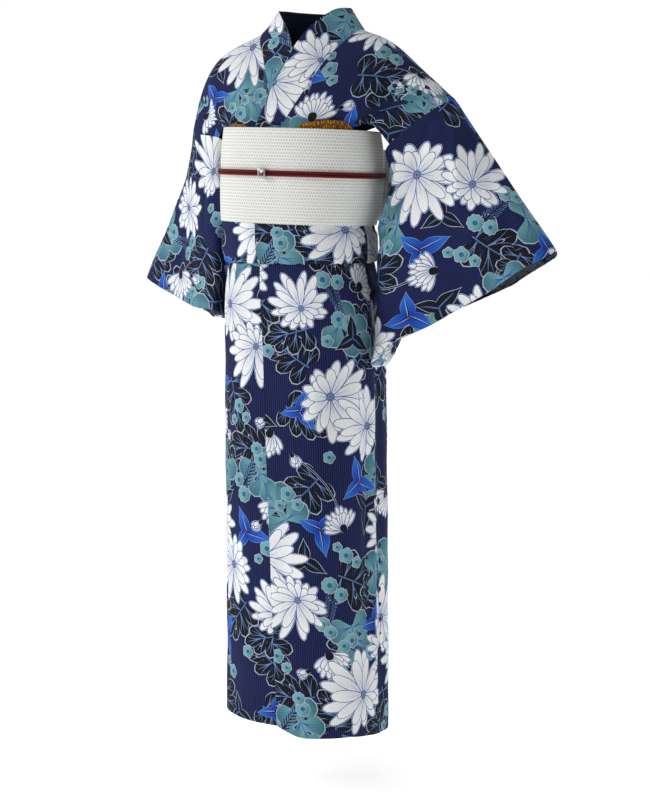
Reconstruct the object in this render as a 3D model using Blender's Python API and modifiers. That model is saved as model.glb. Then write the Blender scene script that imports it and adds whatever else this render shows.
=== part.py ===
"""Cotton yukata, worn with its obi: the hollow garment as walls of cloth.

Metres, +Z up. The origin lies between the two neck points, at the height of the
shoulders. The wearer faces -Y, so the wearer's left side is +X. Each piece that is
cut and sewn is one object, a wall with the cloth's own thickness.
"""

import math

import bmesh
import bpy
import numpy as np

# Driving sizes
CLOTH = 0.0012           # cotton, as a wall
BAND = 0.0022            # the collar is folded double
OBI_CLOTH = 0.0030       # the belt is two layers and a stiff core
SEAM = 0.0003            # half of the gap that two joined pieces keep is on each side
SLEEVE_WIDTH = 0.335     # armhole seam to cuff
CUFF_OPEN = 0.49         # share of the cuff edge that is left open for the hand
ARMHOLE = 0.30           # share of the sleeve's inner edge that is sewn to the body
SQUARE = 2.45            # exponent of the padded body's rounded section
HEM = -1.290             # lowest edge, at the back

# Columns: height, half width, half depth, centre x, centre y
OBI_SECTIONS = [
    (-0.177, 0.1384, 0.1240, -0.0030, -0.036),
    (-0.215, 0.1432, 0.1285, -0.0030, -0.035),
    (-0.262, 0.1451, 0.1300, -0.0040, -0.034),
    (-0.310, 0.1425, 0.1290, -0.0080, -0.033),
    (-0.344, 0.1380, 0.1270, -0.0120, -0.033),
]
WAIST_SECTIONS = [
    (-0.1856, 0.1294, 0.1116, -0.0030, -0.036),
    (-0.2005, 0.1294, 0.1116, -0.0030, -0.036),
    (-0.2150, 0.1355, 0.1200, -0.0030, -0.036),
    (-0.2620, 0.1412, 0.1261, -0.0040, -0.034),
    (-0.3440, 0.1343, 0.1233, -0.0120, -0.033),
    (-0.3650, 0.1372, 0.1285, -0.0100, -0.032),
    (-0.3900, 0.1372, 0.1300, -0.0085, -0.032),
    (-0.4070, 0.1350, 0.1292, -0.0072, -0.031),
    (-0.4130, 0.1335, 0.1278, -0.0070, -0.031),
    (-0.4152, 0.1312, 0.1256, -0.0069, -0.031),
    (-0.4130, 0.1289, 0.1234, -0.0068, -0.031),
    (-0.4070, 0.1280, 0.1225, -0.0068, -0.031),
    (-0.3650, 0.1272, 0.1212, -0.0090, -0.032),
]
SKIRT_SECTIONS = [
    (-0.3600, 0.1262, 0.1202, -0.0093, -0.032),
    (-0.4070, 0.1272, 0.1217, -0.0068, -0.031),
    (-0.4180, 0.1290, 0.1236, -0.0066, -0.031),
    (-0.4400, 0.1325, 0.1265, -0.0058, -0.031),
    (-0.4800, 0.1380, 0.1300, -0.0044, -0.030),
    (-0.6000, 0.1423, 0.1330, -0.0014, -0.030),
    (-0.9000, 0.1446, 0.1350, 0.0003, -0.028),
    (-1.1000, 0.1465, 0.1350, 0.0012, -0.026),
    (-1.2900, 0.1487, 0.1350, 0.0000, -0.024),
]

# Where the long seams run round the body, as a share of half its girth: 0 is the
# middle of the front, 1 and -1 the middle of the back, plus is the wearer's left.
# Columns: height, seam of the left okumi, its free edge
OKUMI_LINES = [
    (-0.18, -0.085, -0.400),
    (-0.41, -0.060, -0.395),
    (-0.60, -0.045, -0.390),
    (-1.02, -0.020, -0.375),
    (-1.29, 0.002, -0.360),
]
LEFT_SIDE = 0.48
RIGHT_SIDE = -0.52
UNDER_SEAM = -0.02
UNDER_EDGE = 0.30

# Hem heights round the body. Columns: share of half girth, height
HEM_LINE = [
    (-1.00, -1.290), (-0.52, -1.268), (-0.36, -1.250), (0.00, -1.252),
    (0.05, -1.262), (0.10, -1.270), (0.30, -1.271), (0.48, -1.285), (1.00, -1.290),
]
UNDER_HEM_RISE = 0.012

# Soft upright folds of the skirt. Columns: place round the body, width, depth, top, foot
SKIRT_FOLDS = [
    (0.40, 0.045, -0.0035, -0.55, -1.29),
    (0.56, 0.050, 0.0045, -0.50, -1.29),
    (0.70, 0.045, -0.0050, -0.48, -1.20),
    (0.86, 0.055, 0.0040, -0.60, -1.29),
    (-0.86, 0.050, -0.0045, -0.55, -1.29),
    (-0.70, 0.050, 0.0045, -0.48, -1.25),
    (-0.58, 0.040, -0.0040, -0.60, -1.29),
    (0.20, 0.050, -0.0020, -0.80, -1.29),
    (-0.22, 0.040, -0.0020, -0.70, -1.29),
]

FOLD_FADE = 0.25         # height over which a fold grows to its full depth

# Collar: columns: share of its half length from the middle of the back, x, y, z
COLLAR_SEAM = [
    (0.00, 0.000, 0.098, -0.004), (0.12, 0.050, 0.085, -0.002), (0.24, 0.085, 0.045, 0.000),
    (0.34, 0.095, 0.000, 0.000), (0.45, 0.087, -0.036, -0.016), (0.56, 0.067, -0.071, -0.047),
    (0.75, 0.036, -0.113, -0.110), (0.95, 0.004, -0.1465, -0.177), (1.00, 0.000, -0.1480, -0.184),
]
COLLAR_EDGE = [
    (0.00, 0.000, 0.086, 0.038), (0.12, 0.040, 0.072, 0.040), (0.24, 0.062, 0.036, 0.041),
    (0.34, 0.066, 0.006, 0.039), (0.45, 0.052, -0.030, 0.032), (0.56, 0.020, -0.068, -0.004),
    (0.75, -0.022, -0.114, -0.100), (0.95, -0.044, -0.1455, -0.177), (1.00, -0.047, -0.1475, -0.184),
]
NECK_POINT = 0.34        # where the collar's seam passes the shoulder
# Depth of the right side under the left. Columns: share of the collar, depth
UNDERLAP = [(0.00, 0.0), (0.43, 0.0), (0.50, 0.0035), (0.57, 0.0090), (0.80, 0.0090), (1.00, 0.0075)]
UNDER_DEPTH = 0.0036     # depth of the wrap's under side below its upper side
WAIST_UNDER_DEPTH = 0.0019

# Shoulder folds, from neck point to sleeve seam. Columns: share, x, y, z
LEFT_RIDGE = [
    (0.00, 0.095, 0.000, 0.000), (0.24, 0.142, 0.002, -0.014), (0.40, 0.171, 0.002, -0.033),
    (0.60, 0.208, 0.000, -0.069), (0.83, 0.247, 0.000, -0.103), (1.00, 0.276, 0.000, -0.128),
]
RIGHT_RIDGE = [
    (0.00, -0.095, 0.000, 0.000), (0.20, -0.139, 0.002, -0.012), (0.38, -0.176, 0.002, -0.030),
    (0.52, -0.200, 0.002, -0.050), (0.70, -0.222, 0.002, -0.088), (0.86, -0.233, 0.000, -0.132),
    (1.00, -0.238, 0.000, -0.175),
]
# Foot of the upper body along the top of the obi, from the collar to the armhole
LEFT_FRONT_FOOT = [
    (0.00, 0.000, -0.1480, -0.184), (0.25, 0.055, -0.1412, -0.184), (0.48, 0.096, -0.1130, -0.184),
    (0.62, 0.112, -0.0915, -0.181), (0.74, 0.127, -0.0755, -0.1735), (0.84, 0.144, -0.0660, -0.170),
    (0.92, 0.160, -0.0640, -0.184), (1.00, 0.178, -0.0640, -0.205),
]
LEFT_BACK_FOOT = [
    (0.00, 0.000, 0.0755, -0.184), (0.25, 0.050, 0.0680, -0.184), (0.45, 0.092, 0.0470, -0.176),
    (0.60, 0.123, 0.0440, -0.168), (0.80, 0.170, 0.0520, -0.185), (1.00, 0.212, 0.0600, -0.205),
]
RIGHT_FRONT_FOOT = [
    (0.00, 0.000, -0.1405, -0.184), (0.25, -0.055, -0.1392, -0.184), (0.48, -0.100, -0.1150, -0.184),
    (0.66, -0.118, -0.0925, -0.181), (0.80, -0.132, -0.0780, -0.1735), (0.90, -0.145, -0.0710, -0.173),
    (1.00, -0.158, -0.0680, -0.190),
]
RIGHT_BACK_FOOT = [
    (0.00, 0.000, 0.0755, -0.184), (0.25, -0.050, 0.0680, -0.184), (0.45, -0.092, 0.0470, -0.176),
    (0.60, -0.123, 0.0440, -0.168), (0.80, -0.164, 0.0560, -0.175), (1.00, -0.198, 0.0700, -0.198),
]
CENTRE_BACK = [
    (0.00, 0.0, 0.098, -0.004), (0.30, 0.0, 0.100, -0.055), (0.65, 0.0, 0.092, -0.120),
    (1.00, 0.0, 0.0755, -0.184),
]
COLLAR_SHARE = 0.38      # share of the back panel's inner line that runs along the collar
FRONT_ROWS = 14          # rows of a front; the collar has a row at each
NECK_ROWS = 5            # rows of a back along the collar; the collar has a row at each

# Sleeves: three sections each, at the armhole, half way and at the cuff, as the front
# layer and the back layer. Columns: share of the fall from the top fold, x, y, z
LEFT_SLEEVE_FRONT = [
    [(0.00, 0.276, 0.000, -0.128), (0.03, 0.273, -0.015, -0.130), (0.10, 0.262, -0.035, -0.138),
     (0.20, 0.225, -0.055, -0.165), (0.30, 0.178, -0.064, -0.205), (0.45, 0.161, -0.030, -0.238),
     (0.70, 0.168, 0.050, -0.300), (1.00, 0.180, 0.130, -0.370)],
    [(0.00, 0.370, 0.000, -0.2585), (0.03, 0.365, -0.017, -0.262), (0.09, 0.349, -0.034, -0.274),
     (0.20, 0.305, -0.052, -0.305), (0.35, 0.243, -0.066, -0.348), (0.48, 0.188, -0.080, -0.390),
     (0.54, 0.165, -0.075, -0.412), (0.70, 0.160, -0.012, -0.440), (0.85, 0.165, 0.040, -0.458),
     (1.00, 0.172, 0.098, -0.480)],
    [(0.00, 0.464, 0.000, -0.389), (0.03, 0.459, -0.016, -0.394), (0.11, 0.430, -0.035, -0.411),
     (0.20, 0.394, -0.045, -0.433), (0.285, 0.361, -0.050, -0.458), (0.39, 0.316, -0.055, -0.485),
     (0.53, 0.257, -0.065, -0.519), (0.70, 0.184, -0.088, -0.562), (0.77, 0.157, -0.090, -0.588),
     (0.87, 0.155, -0.040, -0.597), (1.00, 0.159, 0.022, -0.562)],
]
LEFT_SLEEVE_BACK = [
    [(0.00, 0.276, 0.000, -0.128), (0.03, 0.275, 0.015, -0.131), (0.10, 0.268, 0.034, -0.142),
     (0.20, 0.240, 0.052, -0.172), (0.30, 0.212, 0.060, -0.205), (0.45, 0.197, 0.065, -0.245),
     (0.70, 0.188, 0.085, -0.302), (1.00, 0.190, 0.136, -0.374)],
    [(0.00, 0.370, 0.000, -0.2585), (0.03, 0.367, 0.017, -0.264), (0.09, 0.355, 0.033, -0.282),
     (0.20, 0.318, 0.045, -0.312), (0.35, 0.258, 0.030, -0.358), (0.48, 0.212, -0.010, -0.398),
     (0.54, 0.192, -0.026, -0.415), (0.70, 0.180, 0.006, -0.440), (0.85, 0.180, 0.050, -0.458),
     (1.00, 0.183, 0.102, -0.480)],
    [(0.00, 0.464, 0.000, -0.389), (0.03, 0.461, 0.017, -0.396), (0.11, 0.441, 0.034, -0.410),
     (0.20, 0.406, 0.036, -0.431), (0.285, 0.370, 0.026, -0.454), (0.39, 0.325, 0.000, -0.478),
     (0.46, 0.294, -0.030, -0.494), (0.53, 0.262, -0.053, -0.516), (0.70, 0.190, -0.075, -0.558),
     (0.77, 0.169, -0.076, -0.584), (0.87, 0.166, -0.034, -0.595), (1.00, 0.170, 0.024, -0.562)],
]
# Shares of the fall at which a sleeve has points
SLEEVE_STEPS = np.array([0.0, 0.035, 0.08, 0.14, 0.20, 0.25, 0.30, 0.37, 0.43, 0.49, 0.545, 0.60, 0.66, 0.72,
                         0.77, 0.83, 0.91, 1.0])
RIGHT_SLEEVE_FRONT = [
    [(0.00, -0.238, 0.000, -0.175), (0.03, -0.236, -0.014, -0.176), (0.10, -0.229, -0.034, -0.179),
     (0.20, -0.200, -0.058, -0.183), (0.30, -0.158, -0.068, -0.190), (0.45, -0.157, -0.028, -0.218),
     (0.70, -0.165, 0.050, -0.270), (1.00, -0.175, 0.125, -0.330)],
    [(0.00, -0.290, 0.028, -0.285), (0.03, -0.282, 0.012, -0.290), (0.09, -0.264, -0.004, -0.304),
     (0.20, -0.232, -0.026, -0.330), (0.33, -0.200, -0.056, -0.346), (0.46, -0.162, -0.064, -0.354),
     (0.60, -0.157, -0.010, -0.378), (0.80, -0.166, 0.060, -0.410), (1.00, -0.178, 0.132, -0.445)],
    [(0.00, -0.384, 0.050, -0.455), (0.03, -0.372, 0.036, -0.458), (0.10, -0.342, 0.020, -0.468),
     (0.20, -0.300, 0.004, -0.483), (0.37, -0.229, -0.036, -0.503), (0.51, -0.169, -0.062, -0.507),
     (0.63, -0.160, -0.012, -0.520), (0.80, -0.166, 0.060, -0.533), (1.00, -0.180, 0.140, -0.552)],
]
RIGHT_SLEEVE_BACK = [
    [(0.00, -0.238, 0.000, -0.175), (0.03, -0.238, 0.014, -0.177), (0.10, -0.236, 0.034, -0.182),
     (0.20, -0.222, 0.056, -0.188), (0.30, -0.198, 0.070, -0.198), (0.45, -0.194, 0.080, -0.230),
     (0.70, -0.181, 0.088, -0.275), (1.00, -0.182, 0.131, -0.334)],
    [(0.00, -0.290, 0.028, -0.285), (0.03, -0.288, 0.042, -0.294), (0.09, -0.276, 0.054, -0.310),
     (0.20, -0.248, 0.058, -0.340), (0.33, -0.215, 0.050, -0.360), (0.46, -0.191, 0.030, -0.374),
     (0.60, -0.180, 0.034, -0.390), (0.80, -0.179, 0.074, -0.418), (1.00, -0.186, 0.136, -0.448)],
    [(0.00, -0.384, 0.050, -0.455), (0.03, -0.376, 0.062, -0.462), (0.10, -0.346, 0.068, -0.478),
     (0.20, -0.306, 0.064, -0.498), (0.37, -0.236, 0.030, -0.518), (0.45, -0.206, -0.004, -0.522),
     (0.50, -0.191, -0.022, -0.522), (0.545, -0.179, -0.026, -0.522), (0.60, -0.175, -0.010, -0.526),
     (0.66, -0.171, 0.012, -0.532), (0.80, -0.176, 0.064, -0.540), (1.00, -0.189, 0.144, -0.558)],
]

# Belt trimmings
SCARF_CLOTH = 0.0028
# Columns: share of half girth, height of the scarf's upper edge
SCARF_TOP = [
    (-1.00, -0.1885), (-0.39, -0.1885), (-0.35, -0.1760), (-0.25, -0.1675), (-0.15, -0.1700),
    (-0.12, -0.1885), (0.09, -0.1885), (0.12, -0.1700), (0.22, -0.1665), (0.30, -0.1705),
    (0.34, -0.1770), (0.37, -0.1885), (1.00, -0.1885),
]
SCARF_FOOT = -0.2000
CORD_HEIGHT = -0.2560
CORD_WIDTH = 0.0100
CORD_DEPTH = 0.0042
CLASP_X = -0.017
CLASP_SIZE = 0.0150
CLASP_DEPTH = 0.0050
CLASP_LIP = 0.0016
CLASP_ROUND = 0.0020     # how far its edges are rounded off
CLASP_PLAY = 0.0004

# Bow: two wings of the belt's cloth, folded back at their ends, through a knot
BOW_CLOTH = 0.0022
BOW_HALF = 0.135         # middle of the knot to the end of a wing
BOW_TOP = -0.205
WING_TURNS = np.array([0.0, 0.25, 0.5, 0.75, 0.94, 1.0, 1.06, 1.25, 1.5, 1.75, 2.0])
WING_ROOT_HEIGHT = 0.087
WING_HEIGHT = 0.134
WING_ROOT_DROP = 0.0135
WING_TIP_DROP = 0.012
WING_TUCK = 0.004        # how far a wing runs into the knot
WING_BACK = 0.0112       # inner layer's distance from the belt
WING_GAP = 0.017         # between a wing's two layers
WING_PUFF = 0.022
WING_PLEAT = 0.0026
WING_WRAP = 0.040        # how far a wing's end follows the body round
KNOT_WIDTH = 0.056
KNOT_SIDE = 0.024        # from here outwards the knot is rounded across
KNOT_ROUND = 0.06
# Section of the knot. Columns: height, distance behind the belt
KNOT_LOOP = [
    (-0.208, 0.0120), (-0.207, 0.0270), (-0.218, 0.0375), (-0.262, 0.0405), (-0.308, 0.0375),
    (-0.319, 0.0270), (-0.318, 0.0120), (-0.310, 0.0062), (-0.262, 0.0055), (-0.216, 0.0062),
]

# Colours: base colour, roughness
NAVY = ((0.012, 0.019, 0.063, 1.0), 0.85)
OFF_WHITE = ((0.72, 0.73, 0.69, 1.0), 0.80)
DARK_RED = ((0.10, 0.008, 0.012, 1.0), 0.60)
MUSTARD = ((0.38, 0.17, 0.012, 1.0), 0.75)
SILVER = ((0.62, 0.62, 0.64, 1.0), 0.25)


def clear_scene():
    """Remove whatever the scene holds."""
    for thing in list(bpy.data.objects):
        bpy.data.objects.remove(thing, do_unlink=True)


def finish(name, look, metal=0.0):
    """A plain surface: base colour, roughness and metal."""
    colour, rough = look
    material = bpy.data.materials.new(name)
    material.use_nodes = True
    shader = material.node_tree.nodes["Principled BSDF"]
    shader.inputs["Base Color"].default_value = colour
    shader.inputs["Roughness"].default_value = rough
    shader.inputs["Metallic"].default_value = metal
    material.diffuse_color = colour
    return material


def through(rows, t):
    """A smooth curve through a table whose first column is the parameter."""
    rows = np.asarray(rows, float)
    knots = rows[:, 0]
    points = rows[:, 1:]
    slopes = np.gradient(points, knots, axis=0)
    t = np.clip(np.atleast_1d(np.asarray(t, float)), knots[0], knots[-1])
    i = np.clip(np.searchsorted(knots, t, side="right") - 1, 0, len(knots) - 2)
    h = (knots[i + 1] - knots[i])[:, None]
    u = (t - knots[i])[:, None] / h
    return ((2 * u ** 3 - 3 * u ** 2 + 1) * points[i] + (u ** 3 - 2 * u ** 2 + u) * h * slopes[i]
            + (3 * u ** 2 - 2 * u ** 3) * points[i + 1] + (u ** 3 - u ** 2) * h * slopes[i + 1])


def smoothstep(low, high, value):
    """0 below low, 1 above high, smooth between."""
    u = np.clip((value - low) / (high - low), 0.0, 1.0)
    return u * u * (3.0 - 2.0 * u)


def ring(section, shares, grow=0.0):
    """Points of one body section at shares of half its girth, in metres."""
    z, a, b, cx, cy = section
    angle = np.linspace(-math.pi, math.pi, 721)
    sine, cosine = np.sin(angle), np.cos(angle)
    across, deep = np.abs(sine) / (a + grow), np.abs(cosine) / (b + grow)
    reach = (across ** SQUARE + deep ** SQUARE) ** (-1 / SQUARE)
    x, y = reach * sine, -reach * cosine
    steps = np.hypot(np.diff(x), np.diff(y))
    length = np.concatenate([[0.0], np.cumsum(steps)])
    wanted = (np.asarray(shares, float) + 1.0) / 2.0 * length[-1]
    return np.stack([cx + np.interp(wanted, length, x), cy + np.interp(wanted, length, y),
                     np.full(len(wanted), z)], axis=1)


def section_at(table, place):
    """A row of a section table at a place between its rows (0 is the first row)."""
    rows = [(float(i),) + tuple(row) for i, row in enumerate(table)]
    return through(rows, [place])[0]


def place_of_height(table, height):
    """Where a falling section table reaches a height."""
    heights = [-row[0] for row in table]
    return float(np.interp(-height, heights, range(len(heights))))


def line_at(table, key, column=1):
    """A column of a table, read at a key that rises or falls down the table."""
    table = np.asarray(table, float)
    keys = table[:, 0]
    order = np.argsort(keys)
    return np.interp(key, keys[order], table[order, column])


def grid_normals(points, closed=False):
    """Unit normals of a grid of points."""
    if closed:
        padded = np.concatenate([points[:, -1:], points, points[:, :1]], axis=1)
        across = np.gradient(padded, axis=1)[:, 1:-1]
    else:
        across = np.gradient(points, axis=1)
    along = np.gradient(points, axis=0)
    normal = np.cross(across, along)
    size = np.linalg.norm(normal, axis=2, keepdims=True)
    return normal / np.maximum(size, 1e-12)


def outward(points, normals, centre):
    """Turn a grid's normals so that they point away from a centre."""
    if np.sum(normals * (points - centre)) < 0:
        return -normals
    return normals


def make_object(name, verts, faces, material):
    """One closed body from points and faces, facing outwards."""
    mesh = bpy.data.meshes.new(name)
    mesh.from_pydata([tuple(v) for v in verts], [], faces)
    body = bmesh.new()
    body.from_mesh(mesh)
    bmesh.ops.recalc_face_normals(body, faces=body.faces)
    if body.calc_volume(signed=True) < 0:
        bmesh.ops.reverse_faces(body, faces=body.faces)
    bmesh.ops.triangulate(body, faces=body.faces)
    body.to_mesh(mesh)
    body.free()
    mesh.materials.append(material)
    thing = bpy.data.objects.new(name, mesh)
    PARTS.objects.link(thing)
    mesh.shade_smooth()
    return thing


def wall(name, outer, normals, thick, material, closed=False):
    """A wall between a grid of outer points and the same grid moved in.

    The two faces of a wall share the normals of its seams with the next piece, so
    that joined walls meet edge to edge.
    """
    inner = outer - normals * thick
    rows, cols = outer.shape[:2]
    verts = np.concatenate([outer.reshape(-1, 3), inner.reshape(-1, 3)])
    half = rows * cols
    faces = []
    span = cols if closed else cols - 1
    for r in range(rows - 1):
        for c in range(span):
            a, b = r * cols + c, r * cols + (c + 1) % cols
            d, e = a + cols, b + cols
            faces.append((a, b, e, d))
            faces.append((half + d, half + e, half + b, half + a))
    for c in range(span):
        a, b = c, (c + 1) % cols
        faces.append((a, half + a, half + b, b))
        a, b = a + (rows - 1) * cols, b + (rows - 1) * cols
        faces.append((b, half + b, half + a, a))
    if not closed:
        for r in range(rows - 1):
            a, b = r * cols, (r + 1) * cols
            faces.append((b, half + b, half + a, a))
            a, b = a + cols - 1, b + cols - 1
            faces.append((a, half + a, half + b, b))
    return make_object(name, verts, faces, material)


def coons(top, foot, inner, outer, s, t):
    """A patch between four edge curves: s runs across, t from top to foot."""
    top_row, foot_row = through(top, s), through(foot, s)
    inner_col, outer_col = inner(t), outer(t)
    s, t = s[None, :, None], t[:, None, None]
    corners = ((1 - s) * (1 - t) * top_row[0] + s * (1 - t) * top_row[-1]
               + (1 - s) * t * foot_row[0] + s * t * foot_row[-1])
    return ((1 - s) * inner_col[:, None] + s * outer_col[:, None]
            + (1 - t) * top_row[None] + t * foot_row[None] - corners)


def relax(points, passes):
    """Even out the inside of a grid and leave its edges where they are."""
    for _ in range(passes):
        middle = points[1:-1, 1:-1]
        around = (points[:-2, 1:-1] + points[2:, 1:-1] + points[1:-1, :-2] + points[1:-1, 2:]) / 4
        points = points.copy()
        points[1:-1, 1:-1] = middle + 0.5 * (around - middle)
    return points


def collar_line(rows, share, side):
    """Points of a collar line; the wearer's right side sinks under the left."""
    points = through(rows, share)
    if side < 0:
        points = points * np.array([-1.0, 1.0, 1.0])
        points[:, 1] += line_at(UNDERLAP, np.asarray(share))
    return points


def body_inner_front(side):
    """Inner edge of a front: the collar's seam from the neck point to the obi."""
    return lambda t: collar_line(COLLAR_SEAM, NECK_POINT + (1 - NECK_POINT) * np.asarray(t), side)


def body_inner_back(side):
    """Inner edge of a back: round the collar's seam, then down the middle."""
    def line(t):
        t = np.asarray(t, float)
        round_neck = collar_line(COLLAR_SEAM, NECK_POINT * (1 - np.minimum(t / COLLAR_SHARE, 1.0)), side)
        down = through(CENTRE_BACK, np.maximum((t - COLLAR_SHARE) / (1 - COLLAR_SHARE), 0.0))
        return np.where((t < COLLAR_SHARE)[:, None], round_neck, down)
    return line


def armhole(layer):
    """Outer edge of a body panel: the sewn part of the sleeve's inner edge."""
    return lambda t: through(layer[0], ARMHOLE * np.asarray(t))


def upper_body(side):
    """Grid of one upper body panel, front foot over the shoulder to back foot."""
    ridge = LEFT_RIDGE if side > 0 else RIGHT_RIDGE
    front_foot = LEFT_FRONT_FOOT if side > 0 else RIGHT_FRONT_FOOT
    back_foot = LEFT_BACK_FOOT if side > 0 else RIGHT_BACK_FOOT
    front_layer = LEFT_SLEEVE_FRONT if side > 0 else RIGHT_SLEEVE_FRONT
    back_layer = LEFT_SLEEVE_BACK if side > 0 else RIGHT_SLEEVE_BACK
    s = np.linspace(0.0, 1.0, 11)
    t_front = np.linspace(0.0, 1.0, FRONT_ROWS)
    by_collar = np.linspace(0.0, COLLAR_SHARE, NECK_ROWS)
    t_back = np.concatenate([by_collar, np.linspace(COLLAR_SHARE, 1.0, 6)[1:]])
    front = coons(ridge, front_foot, body_inner_front(side), armhole(front_layer), s, t_front)
    back = coons(ridge, back_foot, body_inner_back(side), armhole(back_layer), s, t_back)
    return relax(np.concatenate([front[::-1], back[1:]]), 2)


def trim(points, first, last, axis):
    """Draw the first and last line of a grid in by a distance, along the cloth."""
    points = points.copy()
    view = points if axis == 0 else points.transpose(1, 0, 2)
    if first:
        step = view[1] - view[0]
        view[0] += step / np.maximum(np.linalg.norm(step, axis=1, keepdims=True), 1e-9) * first
    if last:
        step = view[-2] - view[-1]
        view[-1] += step / np.maximum(np.linalg.norm(step, axis=1, keepdims=True), 1e-9) * last
    return points


def build_upper_bodies(cotton):
    """The two body lengths, front and back in one over the shoulder."""
    grids = {side: upper_body(side) for side in (1, -1)}
    normals = {}
    for side, grid in grids.items():
        normals[side] = outward(grid, grid_normals(grid), np.array([0.05 * side, 0.0, -0.30]))
    share = FRONT_ROWS + NECK_ROWS - 2
    middle = normals[1][share:, 0] + normals[-1][share:, 0]
    middle /= np.linalg.norm(middle, axis=1, keepdims=True)
    for side, name in ((1, "left_body"), (-1, "right_body")):
        normals[side][share:, 0] = middle
        grid = trim(grids[side], 2 * SEAM, SEAM, 1)
        wall(name, grid, normals[side], CLOTH, cotton)


def build_collar(cotton):
    """One band from the left front, round the neck, to under the left front."""
    round_neck = np.linspace(0.0, NECK_POINT, NECK_ROWS)
    left = np.concatenate([round_neck, np.linspace(NECK_POINT, 1.0, FRONT_ROWS)[1:]])
    share = np.concatenate([-left[::-1], left[1:]])
    rows = []
    for k in share:
        side = 1 if k >= 0 else -1
        seam = collar_line(COLLAR_SEAM, [abs(k)], side)[0]
        edge = collar_line(COLLAR_EDGE, [abs(k)], side)[0]
        across = np.linspace(0.0, 1.0, 4)[:, None]
        rows.append(seam + (edge - seam) * across)
    grid = np.array(rows)
    normals = outward(grid, grid_normals(grid), np.array([0.0, 0.0, -0.12]))
    grid = trim(grid, 2 * SEAM, 0.0, 1)
    grid += normals * 0.0006
    wall("collar", grid, normals, BAND, cotton)


def sleeve_point_grid(layer, s, t):
    """Points of one sleeve layer, between its three sections."""
    lines = np.array([through(section, t) for section in layer])
    shares = np.array([0.0, 0.5, 1.0])
    flat = lines.reshape(3, -1)
    rows = np.concatenate([shares[:, None], flat], axis=1)
    return through(rows, s).reshape(len(s), len(t), 3)


def build_sleeve(name, front_layer, back_layer, cotton):
    """A folded length of cloth: a bag, open at armhole, inner edge and upper cuff."""
    s = np.linspace(0.0, 1.0, 9)
    s[0] = 2.5 * SEAM / SLEEVE_WIDTH
    t = SLEEVE_STEPS
    front = sleeve_point_grid(front_layer, s, t)
    back = sleeve_point_grid(back_layer, s, t)
    loop = np.concatenate([front[:, ::-1], back[:, 1:]], axis=1)
    rows, cols = loop.shape[:2]
    top = len(t) - 1
    faces = []
    for r in range(rows - 1):
        for c in range(cols):
            a, b = r * cols + c, r * cols + (c + 1) % cols
            faces.append((a, b, b + cols, a + cols))
    last = (rows - 1) * cols
    sewn = [j for j in range(len(t)) if t[j] >= CUFF_OPEN]
    for j in sewn[:-1]:
        faces.append((last + top - j, last + top - j - 1, last + top + j + 1, last + top + j))
    mesh = bpy.data.meshes.new(name)
    mesh.from_pydata([tuple(v) for v in loop.reshape(-1, 3)], [], faces)
    sheet = bmesh.new()
    sheet.from_mesh(mesh)
    bmesh.ops.recalc_face_normals(sheet, faces=sheet.faces)
    highest = max(sheet.faces, key=lambda face: face.calc_center_median().z)
    if highest.normal.z < 0:
        bmesh.ops.reverse_faces(sheet, faces=sheet.faces)
    sheet.to_mesh(mesh)
    sheet.free()
    mesh.materials.append(cotton)
    mesh.shade_smooth()
    thing = bpy.data.objects.new(name, mesh)
    PARTS.objects.link(thing)
    thick = thing.modifiers.new("cloth", "SOLIDIFY")
    thick.thickness = CLOTH
    thick.offset = -1.0
    return thing


def fold_depth(shares, height):
    """Depth of the skirt's upright folds at one height."""
    depth = np.zeros(len(shares))
    for place, width, deep, top, foot in SKIRT_FOLDS:
        fade = smoothstep(-top, -top + FOLD_FADE, -height)
        fade *= 1 - 0.4 * smoothstep(-foot - 0.1, -foot + 0.1, -height)
        depth += deep * fade * np.exp(-((shares - place) / width) ** 2)
    return depth


def tube_panel(table, places, from_share, to_share, columns, sink=None, folds=False, hem=None):
    """Grid of a panel round the body: a row for each place in a section table."""
    grid = []
    for place in places:
        section = section_at(table, place)
        first, last = from_share(section[0]), to_share(section[0])
        shares = np.linspace(first, last, columns)
        points = ring(section, shares)
        centre = np.array([section[3], section[4]])
        away = points[:, :2] - centre
        away /= np.linalg.norm(away, axis=1, keepdims=True)
        push = np.zeros(columns)
        if folds:
            push += fold_depth(shares, section[0])
        if sink is not None:
            push -= sink(shares)
        points[:, :2] += away * push[:, None]
        grid.append(points)
    grid = np.array(grid)
    if hem is not None:
        top = grid[0, :, 2].copy()
        share = (grid[:, :, 2] - top) / (grid[-1, :, 2] - top)
        last_shares = np.linspace(from_share(HEM), to_share(HEM), columns)
        grid[:, :, 2] = top + share * (hem(last_shares) - top)
    return grid


def tube_wall(name, grid, cotton, centre=(0.0, -0.03, 0.0)):
    """A panel round the body as a wall, its side edges drawn in for the seams."""
    normals = grid_normals(grid)
    flat = grid.copy()
    flat[..., 2] = 0.0
    lean = normals[0] * (flat[0] - np.array(centre))
    if np.sum(lean) < 0:
        normals = -normals
    wall(name, trim(grid, SEAM, SEAM, 1), normals, CLOTH, cotton)


def okumi_seam(height):
    """Share of half girth where the left okumi's seam runs."""
    return float(line_at(OKUMI_LINES, height, 1))


def okumi_edge(height):
    """Share of half girth of the left okumi's free edge."""
    return float(line_at(OKUMI_LINES, height, 2))


def under_sink(shares):
    """The right front sinks under the left one between its side seam and the wrap."""
    return UNDER_DEPTH * smoothstep(RIGHT_SIDE + 0.01, okumi_edge(HEM) - 0.02, shares)


def left_side(height):
    """Share of half girth of the left side seam."""
    return LEFT_SIDE


def right_side(height):
    """Share of half girth of the right side seam."""
    return RIGHT_SIDE


def middle_back(height):
    """Share of half girth of the middle of the back, from the left."""
    return 1.0


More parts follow.
